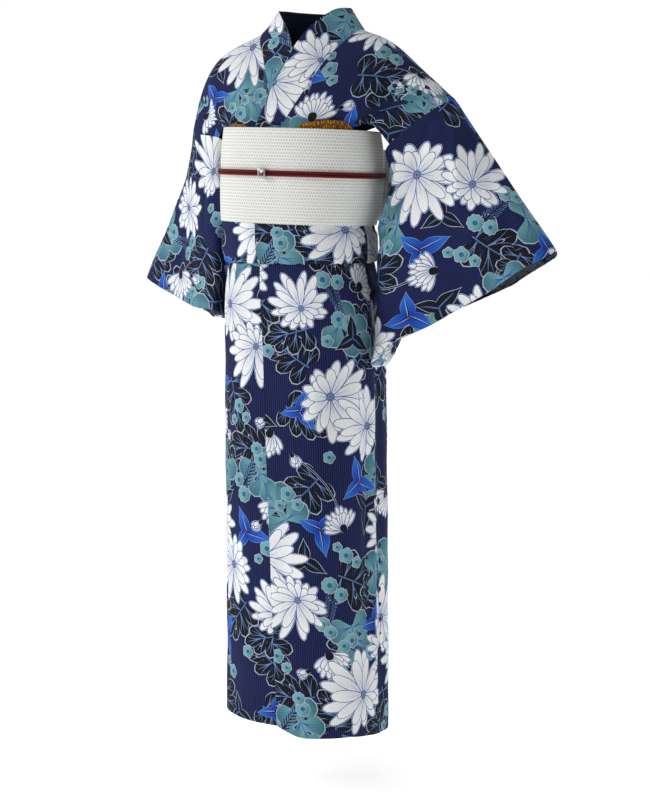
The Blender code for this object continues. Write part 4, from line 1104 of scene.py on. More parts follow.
    def draw(self) -> None:
        """Dye the whole repeat, from the leaves at the back to the flowers in front."""
        dyes = self.dyes
        dark = LeafDress(dyes.halo, dyes.black, dyes.vein, dyes.deep_vein)
        light = LeafDress(dyes.halo, dyes.teal, dyes.deep_vein, dyes.soft_line)
        dark_lobes = (
            (0.06, 88, 0.42, 0.30), (0.10, -84, 0.44, 0.31), (0.26, 60, 0.48, 0.29),
            (0.30, -58, 0.47, 0.30), (0.46, 36, 0.46, 0.28), (0.50, -34, 0.44, 0.28),
            (0.60, 2, 0.46, 0.29),
        )
        light_lobes = (
            (0.04, 92, 0.54, 0.52), (0.06, -88, 0.52, 0.52), (0.30, 46, 0.58, 0.54),
            (0.32, -44, 0.58, 0.52), (0.48, 2, 0.58, 0.54),
        )
        for u, v, length, direction in self.dark_leaves:
            self.leaf(u, v, length * 1.04, direction, dark, dark_lobes)
        for u, v, length, direction in self.teal_leaves:
            self.leaf(u, v, length * 0.94, direction, light, light_lobes)
        for u, v, length, direction in self.twigs:
            self.twig(u, v, length, direction)
        for u, v, reach, direction in self.dark_bells:
            self.bell(u, v, reach * 1.15, direction, dyes.black, dyes.halo, dyes.deep_vein, dyes.vein)
        for u, v, reach, direction in self.bells:
            self.bell(u, v, reach * 1.2, direction, dyes.blue, dyes.vein, dyes.black, dyes.cream)
        for u, v, radius in self.blossoms:
            self.blossom(u, v, radius)
        for k, (u, v, _, _) in enumerate(self.half_blooms):
            near = min(self.buds, key=lambda bud: (bud[0] - u) ** 2 + (bud[1] - v) ** 2)
            self.stem((u, v), near[:2], 0.12 if k % 2 else -0.12)
        for u, v, length, direction in self.buds:
            self.fan(u, v, length, direction, 34, (4, 3), 0.42)
        for u, v, radius, direction in self.half_blooms:
            self.fan(u, v, radius, direction, 84, (10, 7), 0.26)
        for u, v, radius, lean, tilt in self.blooms:
            self.bloom(u, v, radius, lean, tilt)
        self.find_steps()

    def repeats(self, low: float, high: float) -> range:
        """The numbers of the repeats that reach into a stretch of the bolt."""
        return range(math.floor((low - self.margin) / self.repeat),
                     math.ceil((high + self.margin) / self.repeat) + 1)

    def copies(self, low: float, high: float) -> list[Shape]:
        """All dyed areas that reach into a stretch of the bolt, back to front.

        Args:
            low: Start of the stretch, in millimetres along the bolt.
            high: Its end.

        Returns:
            The areas, repeated as often as the stretch needs.
        """
        found = []
        for shape in self.shapes:
            top, foot = shape.outline[:, 1].min(), shape.outline[:, 1].max()
            for k in self.repeats(low, high):
                if foot + k * self.repeat > low and top + k * self.repeat < high:
                    found.append(shape.moved(k * self.repeat))
        return found

    def find_steps(self) -> None:
        """Keep the outline steps that no later area covers."""
        starts, ends, owner = [], [], []
        for k, shape in enumerate(self.shapes):
            starts.append(shape.outline)
            ends.append(np.roll(shape.outline, -1, axis=0))
            owner.append(np.full(len(shape.outline), k))
        start, end, rank = np.concatenate(starts), np.concatenate(ends), np.concatenate(owner)
        probes = np.concatenate([start * 0.9 + end * 0.1, (start + end) / 2, start * 0.1 + end * 0.9])
        order = np.argsort(probes[:, 1])
        sorted_probes, ranks = probes[order], np.tile(rank, 3)[order]
        hidden = np.zeros(len(probes), bool)
        for k, shape in enumerate(self.shapes):
            for down in (-self.repeat, 0.0, self.repeat):
                outline = shape.outline + np.array([0.0, down])
                low, high = outline.min(axis=0), outline.max(axis=0)
                first, last = np.searchsorted(sorted_probes[:, 1], (low[1], high[1]))
                part = sorted_probes[first:last]
                near = (ranks[first:last] < k) & ~hidden[first:last]
                spots = np.nonzero(near & (part[:, 0] > low[0]) & (part[:, 0] < high[0]))[0]
                if len(spots):
                    hidden[first + spots[inside(part[spots], outline)]] = True
        covered = np.zeros(len(probes), bool)
        covered[order] = hidden
        seen = ~np.all(covered.reshape(3, -1), axis=0)
        self.steps = np.stack([start[seen], end[seen]], axis=1)

    def lines(self, low: float, high: float) -> np.ndarray:
        """The outline steps that reach into a stretch of the bolt."""
        found = []
        for k in self.repeats(low, high):
            moved = self.steps + np.array([0.0, k * self.repeat])
            keep = (moved[:, :, 1].max(axis=1) > low) & (moved[:, :, 1].min(axis=1) < high)
            found.append(moved[keep])
        return np.concatenate(found)

    def dye(self, corners: np.ndarray, fine: bool) -> np.ndarray:
        """Colours of triangles on the bolt.

        Args:
            corners: Triangles by three corners by u and v, in millimetres.
            fine: Whether this is the face of the cloth rather than its reverse, whose print is painted in
                shade.

        Returns:
            A colour for each corner.
        """
        middle = corners.mean(axis=1)
        ground = self.dyes.ground if fine else self.dyes.reverse
        colours = np.tile(np.array(ground.near), (len(corners), 3, 1))
        order = np.argsort(middle[:, 1])
        across, along = middle[order, 0], middle[order, 1]
        for shape in self.copies(float(along[0]), float(along[-1])):
            low, high = shape.outline.min(axis=0), shape.outline.max(axis=0)
            first, last = np.searchsorted(along, (low[1], high[1]))
            near = order[first:last][(across[first:last] > low[0]) & (across[first:last] < high[0])]
            if len(near) == 0:
                continue
            hit = near[inside(middle[near], shape.outline)]
            if len(hit):
                colours[hit] = shape.paint.colours(corners[hit].reshape(-1, 2)).reshape(-1, 3, 3)
        # Painted shade: on the reverse the print is nearly drowned in the dark reverse ground, for the
        # shade inside the sleeves.
        if not fine:
            colours = colours * 0.10 + np.array(ground.near) * 0.85
        return colours


class Held(Enum):
    """How a piece of cloth is held."""

    DRAPED = "draped"
    FOLDED = "folded"
    GATHERED = "gathered"
    STRETCHED = "stretched"


@dataclass(frozen=True)
class Crease:
    """A soft trough or ridge along a line of a panel.

    The line's points are shares across and down the panel, the width is in
    millimetres, and a negative height is a trough, in metres.
    """

    line: tuple[tuple[float, float], ...]
    width: float
    height: float
    bias: float = 0.0


@dataclass
class Panel:
    """One cut piece of the bolt, laid on its worn form."""

    name: str
    form: np.ndarray
    start: tuple[float, float]
    centre: tuple[float, float, float] = (0.0, -0.03, -0.30)
    held: Held = Held.DRAPED
    thick: float = 0.0009
    lined: bool = False
    printed: bool = True
    sewn: tuple[bool, bool] = (True, True)
    creases: tuple[Crease, ...] = ()
    closeness: float = 8.0        # spacing of the points between the print's outlines, in mm
    even_rounds: int = 110        # how often the lengths are evened out when it is laid flat
    lift: float = 0.0             # how far the whole piece lies outside its form
    deepened: float = 1.5         # factor on the height of every crease
    seam_dip: float = 0.0008      # how far a sewn edge sinks, and the ridge beside it
    seam_ridge: float = 0.0003
    ripple: float = 0.00045       # slow waves over all of the cloth

    def build(self, bolt: Bolt, finish: bpy.types.Material) -> bpy.types.Object:
        """Cut, print, form and finish the panel.

        Args:
            bolt: The printed cloth.
            finish: Its material.

        Returns:
            The finished piece.
        """
        self.prepare()
        lines = bolt.lines(*self.stretch()) if self.printed else np.zeros((0, 2, 2))
        outer_flat, outer_faces, loop = self.cut(lines, self.closeness)
        if self.printed:
            outer_colours = bolt.dye(outer_flat[outer_faces], True)
        else:
            outer_colours = self.plain(bolt, outer_faces)
        if self.lined:
            inner_flat, inner_faces, partner = outer_flat, outer_faces, {k: k for k in loop}
            inner_colours = bolt.dye(inner_flat[inner_faces], False)
        else:
            inner_flat, inner_faces, partner = self.back_of(outer_flat, loop)
            inner_colours = self.plain(bolt, inner_faces)
        piece = self.shape((outer_flat, outer_faces, outer_colours),
                           (inner_flat, inner_faces, inner_colours), loop, partner)
        piece.data.materials.append(finish)
        self.declare(piece)
        return piece

    def plain(self, bolt: Bolt, faces: np.ndarray) -> np.ndarray:
        """The reverse colour for every corner."""
        return np.tile(np.array(bolt.dyes.reverse.near), (len(faces), 3, 1))

    def prepare(self) -> None:
        """Lay the form flat on the bolt and set which way it faces."""
        self.sheet = CubicSheet(self.form)
        rows = int(np.clip(self.run(0) / 0.012, 16, 70))
        cols = int(np.clip(self.run(1) / 0.012, 8, 40))
        sample = self.sheet.sampled(rows, cols)
        flat = flatten(sample, self.even_rounds) * 1000.0
        middle = flat[:, cols // 2]
        axis = middle[-1] - middle[0]
        turn = math.atan2(axis[0], axis[1])
        c, s = math.cos(turn), math.sin(turn)
        flat = (flat - middle[0]) @ np.array([[c, s], [-s, c]])
        self.flat = CubicSheet(flat + np.array(self.start))
        self.sign = facing(sample, grid_normals(sample), self.centre)
        s_all, t_all = np.meshgrid(np.linspace(0, 1, 3 * cols), np.linspace(0, 1, 3 * rows))
        self.dense = np.stack([s_all.ravel(), t_all.ravel()], axis=1)
        spots = self.flat.at(self.dense[:, 0], self.dense[:, 1])
        self.tree = KDTree(len(spots))
        for k, spot in enumerate(spots):
            self.tree.insert((spot[0], spot[1], 0.0), k)
        self.tree.balance()
        self.find_outline()

    def run(self, axis: int) -> float:
        """Length of the form's middle line down (0) or across (1)."""
        rows, cols = self.form.shape[:2]
        return length_of(self.form[:, cols // 2] if axis == 0 else self.form[rows // 2])

    def find_outline(self) -> None:
        """The panel's cut edge on the bolt, as shares and as places."""
        down = max(int(self.run(0) / 0.005), 8)
        over = max(int(self.run(1) / 0.005), 6)
        s = np.linspace(0, 1, over, endpoint=False)
        t = np.linspace(0, 1, down, endpoint=False)
        shares = np.concatenate([
            np.stack([s, np.zeros(over)], axis=1), np.stack([np.ones(down), t], axis=1),
            np.stack([1 - s, np.ones(over)], axis=1), np.stack([np.zeros(down), 1 - t], axis=1)])
        self.outline = self.flat.at(shares[:, 0], shares[:, 1])

    def stretch(self) -> tuple[float, float]:
        """Where on the bolt the panel starts and ends, along its length."""
        return float(self.outline[:, 1].min()) - 2, float(self.outline[:, 1].max()) + 2

    def hexagons(self, step: float) -> np.ndarray:
        """Even points inside the outline, clear of its edge.

        Args:
            step: Their spacing, in millimetres.

        Returns:
            The points.
        """
        low, high = self.outline.min(axis=0), self.outline.max(axis=0)
        rows = np.arange(low[1] + step / 2, high[1], step * 0.866)
        found = []
        for k, v in enumerate(rows):
            u = np.arange(low[0] + (step / 2 if k % 2 else 0.0), high[0], step)
            found.append(np.stack([u, np.full(len(u), v)], axis=1))
        points = np.concatenate(found)
        points = points[inside(points, self.outline)]
        near = np.min(np.abs(points[:, None, :] - self.outline[None]).sum(axis=2), axis=1)
        return points[near > step * 0.5]

    def cut(self, lines: np.ndarray, step: float) -> tuple[np.ndarray, np.ndarray, list[int]]:
        """Triangles of the flat panel, with an edge along every outline of the print.

        Args:
            lines: Outline steps of the print, none for plain cloth.
            step: Spacing of the points between them.

        Returns:
            The points, the triangles and the cut edge in order.
        """
        low, high = self.outline.min(axis=0) - 1, self.outline.max(axis=0) + 1
        lines = lines[np.all((lines.min(axis=1) < high) & (lines.max(axis=1) > low), axis=1)]
        within = self.hexagons(step)
        first = len(self.outline) + len(within)
        edges = [(first + 2 * k, first + 2 * k + 1) for k in range(len(lines))]
        points = np.concatenate([self.outline, within, lines.reshape(-1, 2)])
        spots, faces, _ = triangulated(points, edges, self.outline, 0.03, False)
        area = doubled_areas(spots, faces)
        faces, area = faces[np.abs(area) > 1e-9], area[np.abs(area) > 1e-9]
        faces[area < 0] = faces[area < 0][:, ::-1]
        used, inverse = np.unique(faces, return_inverse=True)
        faces = inverse.reshape(-1, 3)
        return spots[used], faces, self.rim_of(faces)

    def rim_of(self, faces: np.ndarray) -> list[int]:
        """The longest chain of edges that have one triangle, in order."""
        beyond = 10_000_000
        steps = np.concatenate([faces[:, [0, 1]], faces[:, [1, 2]], faces[:, [2, 0]]])
        code = steps[:, 0].astype(np.int64) * beyond + steps[:, 1]
        back = steps[:, 1].astype(np.int64) * beyond + steps[:, 0]
        free = steps[~np.isin(code, back)]
        follow = {int(a): int(b) for a, b in free}
        best: list[int] = []
        seen: set[int] = set()
        for start in follow:
            if start in seen:
                continue
            chain = [start]
            seen.add(start)
            step = follow[start]
            while step != start and step in follow and step not in seen:
                chain.append(step)
                seen.add(step)
                step = follow[step]
            if len(chain) > len(best):
                best = chain
        if len(free) != len(best):
            LOG.warning("%s: %d of %d edge steps in the rim", self.name, len(best), len(free))
        return best

    def back_of(self, flat: np.ndarray,
                loop: list[int]) -> tuple[np.ndarray, np.ndarray, dict[int, int]]:
        """A coarser inner face with the same cut edge.

        Args:
            flat: Points of the outer face.
            loop: Its cut edge.

        Returns:
            Points, triangles, and the inner point for each point of the cut edge.
        """
        rim, spacing = flat[loop], 16.0
        points = np.concatenate([rim, self.hexagons(spacing)])
        spots, faces, sources = triangulated(points, [], rim, 1e-5, True)
        turned = doubled_areas(spots, faces) < 0
        faces[turned] = faces[turned][:, ::-1]
        partner = {loop[old]: new for new, olds in enumerate(sources) for old in olds if old < len(rim)}
        return spots, faces, partner

    def shares_of(self, flat: np.ndarray) -> tuple[np.ndarray, np.ndarray]:
        """Shares across and down the form for places on the bolt."""
        start = np.array([self.tree.find((p[0], p[1], 0.0))[1] for p in flat])
        s, t = self.dense[start, 0].copy(), self.dense[start, 1].copy()
        for _ in range(5):
            side = np.where(s > 0.5, -1e-4, 1e-4)
            fall = np.where(t > 0.5, -1e-4, 1e-4)
            here = self.flat.at(s, t)
            a = (self.flat.at(s + side, t) - here) / side[:, None]
            b = (self.flat.at(s, t + fall) - here) / fall[:, None]
            gap = flat - here
            det = a[:, 0] * b[:, 1] - a[:, 1] * b[:, 0]
            det = np.where(np.abs(det) < 1e-6, 1e-6, det)
            over = (gap[:, 0] * b[:, 1] - gap[:, 1] * b[:, 0]) / det
            down = (a[:, 0] * gap[:, 1] - a[:, 1] * gap[:, 0]) / det
            s = np.clip(s + np.clip(over, -0.05, 0.05), 0.0, 1.0)
            t = np.clip(t + np.clip(down, -0.05, 0.05), 0.0, 1.0)
        return s, t

    def relief(self, s: np.ndarray, t: np.ndarray) -> np.ndarray:
        """How far out of the form the cloth lies, in metres."""
        here = self.flat.at(s, t)
        wide = self.flat.at(np.ones_like(t), t) - self.flat.at(np.zeros_like(t), t)
        wide = np.linalg.norm(wide, axis=1)
        depth = np.zeros(len(s))
        for crease in self.creases:
            depth += self.deepened * self.crease_depth(crease, here)
        depth *= smoothstep(0.0, 14.0, np.minimum(s, 1 - s) * wide)
        for sewn, gap in zip(self.sewn, (s * wide, (1 - s) * wide)):
            if sewn:
                depth -= self.seam_dip * np.exp(-(gap / 2.2) ** 2)
                depth += self.seam_ridge * np.exp(-((gap - 6.5) / 2.5) ** 2)
        return depth

    def crease_depth(self, crease: Crease, here: np.ndarray) -> np.ndarray:
        """The depth that one crease gives to places on the bolt."""
        line = np.array(crease.line)
        knots = np.concatenate([np.linspace(0, 1, len(line))[:, None], line], axis=1)
        shares = through(knots, np.linspace(0, 1, 24))
        path = self.flat.at(shares[:, 0], shares[:, 1])
        best = np.full(len(here), 1e9)
        along = np.zeros(len(here))
        for k in range(len(path) - 1):
            step = path[k + 1] - path[k]
            span = float(step @ step)
            u = np.clip(((here - path[k]) @ step) / span, 0.0, 1.0)
            off = here - path[k] - u[:, None] * step
            side = np.sign(off[:, 0] * step[1] - off[:, 1] * step[0])
            away = np.hypot(off[:, 0], off[:, 1]) / (1.0 + crease.bias * side)
            nearer = away < best
            best = np.where(nearer, away, best)
            along = np.where(nearer, (k + u) / (len(path) - 1), along)
        ends = np.sin(math.pi * np.clip(along, 0.0, 1.0)) ** 0.6
        return crease.height * ends * np.exp(-(best / crease.width) ** 2)

    def with_normals(self, at: Callable, s: np.ndarray, t: np.ndarray,
                     step: float) -> tuple[np.ndarray, np.ndarray]:
        """Points and outward normals of a surface.

        Args:
            at: The surface's points for shares across and down.
            s: Shares across.
            t: Shares down.
            step: How far apart the points lie from which a normal is found, in shares.

        Returns:
            The points and the normals.
        """
        side, fall = np.where(s > 0.5, -step, step), np.where(t > 0.5, -step, step)
        here = at(s, t)
        a = (at(s + side, t) - here) * np.sign(side)[:, None]
        b = (at(s, t + fall) - here) * np.sign(fall)[:, None]
        return here, unit(np.cross(a, b)) * self.sign

    def surface(self, s: np.ndarray, t: np.ndarray) -> np.ndarray:
        """Points of the cloth's face, with its creases."""
        here, normal = self.with_normals(self.sheet.at, s, t, 2e-3)
        x, y, z = here.T
        ripple = self.ripple * (np.sin(x * 61 + z * 23 + 1.3) + np.sin(z * 47 - y * 71))
        return here + normal * (self.relief(s, t) + ripple + self.lift)[:, None]

    def formed(self, flat: np.ndarray) -> tuple[np.ndarray, np.ndarray]:
        """Points and outward normals of the cloth's face for places on the bolt."""
        return self.with_normals(self.surface, *self.shares_of(flat), 1e-3)

    def shape(self, outer: tuple, inner: tuple, loop: list[int],
              partner: dict[int, int]) -> bpy.types.Object:
        """Join face, reverse and rim into one closed mesh.

        Args:
            outer: Points, triangles and corner colours of the face.
            inner: The same of the reverse.
            loop: The face's cut edge in order.
            partner: The reverse's point for each point of that edge.

        Returns:
            The piece.
        """
        points, normals = self.formed(outer[0])
        if inner[0] is outer[0]:
            back_points, back_normals = points, normals
        else:
            back_points, back_normals = self.formed(inner[0])
        back_points = back_points - back_normals * self.thick
        ahead = self.faces_forward(points, outer[1], normals)
        outer_faces = outer[1] if ahead else outer[1][:, ::-1]
        outer_colours = outer[2] if ahead else outer[2][:, ::-1]
        inner_faces = inner[1][:, ::-1] if ahead else inner[1]
        inner_colours = inner[2][:, ::-1] if ahead else inner[2]
        shift = len(points)
        rim_faces = self.rim_faces(loop, {key: new + shift for key, new in partner.items()}, ahead)
        verts = np.concatenate([points, back_points])
        faces = np.concatenate([outer_faces, inner_faces + shift, rim_faces])
        flat = np.concatenate([outer[0], inner[0]])
        # Painted shade: the cut edges take the face's mean colour, darkened to 0.6.
        rim_colours = np.tile(outer_colours.reshape(-1, 3).mean(axis=0) * 0.6, (len(rim_faces), 3, 1))
        colours = np.concatenate([outer_colours, inner_colours, rim_colours])
        corner_normals = np.concatenate([normals, -back_normals])[faces]
        corners = verts[rim_faces]
        rim_normals = unit(np.cross(corners[:, 1] - corners[:, 0], corners[:, 2] - corners[:, 0]))
        corner_normals[-len(rim_faces):] = rim_normals[:, None]
        return self.object_of(verts, faces, flat[faces] / 1000.0, colours, corner_normals)

    def rim_faces(self, loop: list[int], partner: dict[int, int], ahead: bool) -> np.ndarray:
        """Triangles between the cut edges of the face and of the reverse.

        Args:
            loop: The face's cut edge in order.
            partner: The reverse's point for each point of that edge.
            ahead: Whether the face's own triangles turn outwards.

        Returns:
            The triangles.
        """
        found = []
        for k, a in enumerate(loop):
            b = loop[(k + 1) % len(loop)]
            if a in partner and b in partner:
                c, d = partner[b], partner[a]
                pair = [(b, a, d), (b, d, c)] if ahead else [(a, b, d), (b, c, d)]
                found += [face for face in pair if len(set(face)) == 3]
        return np.array(found)

    def object_of(self, verts: np.ndarray, faces: np.ndarray, places: np.ndarray, colours: np.ndarray,
                  normals: np.ndarray) -> bpy.types.Object:
        """The piece made of triangles.

        Args:
            verts: Points in metres.
            faces: Triangles.
            places: Place on the bolt of each corner, in metres.
            colours: Colour of each corner.
            normals: Normal of each corner.

        Returns:
            The piece, linked to the scene.
        """
        mesh = bpy.data.meshes.new(self.name)
        mesh.vertices.add(len(verts))
        mesh.vertices.foreach_set("co", verts.ravel())
        mesh.loops.add(len(faces) * 3)
        mesh.loops.foreach_set("vertex_index", faces.ravel().astype(np.int32))
        mesh.polygons.add(len(faces))
        mesh.polygons.foreach_set("loop_start", np.arange(0, len(faces) * 3, 3, dtype=np.int32))
        mesh.update(calc_edges=True)
        mesh.shade_smooth()
        dye = mesh.color_attributes.new("print", "FLOAT_COLOR", "CORNER")
        tint = np.concatenate([colours.reshape(-1, 3), np.ones((len(faces) * 3, 1))], axis=1)
        dye.data.foreach_set("color", tint.ravel())
        layer = mesh.uv_layers.new(name="bolt")
        layer.data.foreach_set("uv", places.ravel())
        mesh.normals_split_custom_set([tuple(n) for n in normals.reshape(-1, 3)])
        piece = bpy.data.objects.new(self.name, mesh)
        bpy.context.scene.collection.objects.link(piece)
        return piece

    def faces_forward(self, points: np.ndarray, faces: np.ndarray, normals: np.ndarray) -> bool:
        """Whether the triangles turn the way that the normals point."""
        a, b, c = points[faces[:, 0]], points[faces[:, 1]], points[faces[:, 2]]
        return float(np.sum(np.cross(b - a, c - a) * normals[faces[:, 0]])) > 0

    def declare(self, piece: bpy.types.Object) -> None:
        """Say what the piece stands for."""
        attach(piece, BODY)
        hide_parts(self.name.removesuffix("_cloth"))


@dataclass
class UpperGarment:
    """The two body lengths, the collar and the two sleeves."""

    left_start: tuple[float, float] = (252.0, 730.0)
    right_start: tuple[float, float] = (180.0, 240.0)
    collar_start: tuple[float, float] = (60.0, 120.0)
    left_sleeve_start: tuple[float, float] = (190.0, 60.0)
    right_sleeve_start: tuple[float, float] = (200.0, 600.0)

    @staticmethod
    def drawn_in(form: np.ndarray) -> np.ndarray:
        """The left sleeve with its inner border hanging straight beside the skirt."""
        near = 1.0 - smoothstep(0.175, 0.250, form[..., 0])
        down = np.exp(-((form[..., 2] + 0.500) / 0.052) ** 2)
        form[..., 0] -= 0.019 * near * down
        return form

    def panels(self) -> list[Panel]:
        """The cut pieces above the sash, with their creases."""
        left = Panel(
            "left_body_cloth", upper_body_form(1), self.left_start, centre=(0.05, 0.0, -0.30),
            creases=(Crease(((0.80, 0.52), (0.78, 0.40), (0.86, 0.24)), 9.0, 0.0042, 0.3),
                     Crease(((0.62, 0.44), (0.66, 0.28), (0.80, 0.10)), 12.0, -0.0030),
                     Crease(((0.30, 0.42), (0.34, 0.24), (0.44, 0.06)), 14.0, -0.0018),
                     Crease(((0.90, 0.30), (0.72, 0.14), (0.60, 0.03)), 7.0, -0.0028, -0.3),
                     Crease(((0.95, 0.20), (0.84, 0.08), (0.80, 0.01)), 6.0, 0.0026),
                     Crease(((0.75, 0.70), (0.66, 0.84), (0.55, 0.98)), 13.0, -0.0034),
                     Crease(((0.45, 0.74), (0.40, 0.86), (0.42, 0.98)), 10.0, 0.0024)))
        right = Panel(
            "right_body_cloth", upper_body_form(-1), self.right_start, centre=(-0.05, 0.0, -0.30),
            creases=(Crease(((0.80, 0.50), (0.74, 0.34), (0.78, 0.20)), 11.0, -0.0034),
                     Crease(((0.55, 0.44), (0.56, 0.26), (0.66, 0.06)), 12.0, 0.0026),
                     Crease(((0.92, 0.26), (0.76, 0.12), (0.70, 0.02)), 7.0, -0.0026),
                     Crease(((0.76, 0.70), (0.64, 0.86), (0.58, 0.98)), 12.0, -0.0032),
                     Crease(((0.42, 0.76), (0.46, 0.88), (0.40, 0.98)), 10.0, 0.0022)))
        collar = Panel("collar_cloth", collar_form(), self.collar_start, centre=(0.0, 0.0, -0.12),
                       held=Held.FOLDED, thick=0.0020, sewn=(True, False), closeness=6.0, lift=0.0008,
                       creases=(Crease(((0.5, 0.60), (0.45, 0.70), (0.55, 0.78)), 9.0, -0.0010),
                                Crease(((0.5, 0.24), (0.55, 0.33), (0.45, 0.40)), 10.0, -0.0010)))
        left_sleeve = Panel(
            "left_sleeve_cloth", self.drawn_in(sleeve_form(LEFT_SLEEVE_FRONT, LEFT_SLEEVE_BACK)),
            self.left_sleeve_start, centre=(0.25, 0.02, -0.36), lined=True, sewn=(True, False),
            even_rounds=0,
            creases=(Crease(((0.04, 0.41), (0.16, 0.36), (0.34, 0.24), (0.52, 0.08)), 9.0, -0.0050, 0.35),
                     Crease(((0.03, 0.45), (0.22, 0.42), (0.55, 0.37)), 10.0, 0.0036),
                     Crease(((0.30, 0.47), (0.60, 0.44), (0.95, 0.41)), 14.0, -0.0022),
                     Crease(((0.10, 0.33), (0.24, 0.24), (0.34, 0.10)), 8.0, 0.0042),
                     Crease(((0.55, 0.33), (0.68, 0.22), (0.74, 0.08)), 16.0, 0.0034),
                     Crease(((0.80, 0.40), (0.86, 0.28), (0.84, 0.14)), 15.0, -0.0026),
                     Crease(((0.05, 0.58), (0.25, 0.64), (0.50, 0.76)), 13.0, -0.0040),
                     Crease(((0.40, 0.56), (0.62, 0.66), (0.76, 0.86)), 15.0, 0.0034),
                     Crease(((0.08, 0.70), (0.24, 0.80), (0.30, 0.94)), 11.0, 0.0036)))
        right_sleeve = Panel(
            "right_sleeve_cloth", sleeve_form(RIGHT_SLEEVE_FRONT, RIGHT_SLEEVE_BACK),
            self.right_sleeve_start, centre=(-0.22, 0.03, -0.34), lined=True, sewn=(True, False),
            even_rounds=0,
            creases=(Crease(((0.05, 0.40), (0.26, 0.36), (0.50, 0.30)), 10.0, -0.0038, 0.2),
                     Crease(((0.04, 0.34), (0.30, 0.26), (0.62, 0.18)), 12.0, 0.0034),
                     Crease(((0.45, 0.42), (0.72, 0.40), (0.96, 0.38)), 12.0, -0.0022),
                     Crease(((0.70, 0.34), (0.82, 0.22), (0.86, 0.08)), 14.0, -0.0028),
                     Crease(((0.06, 0.60), (0.30, 0.66), (0.58, 0.80)), 13.0, -0.0038),
                     Crease(((0.44, 0.56), (0.66, 0.64), (0.84, 0.82)), 14.0, 0.0032)))
        return [left, right, collar, left_sleeve, right_sleeve]


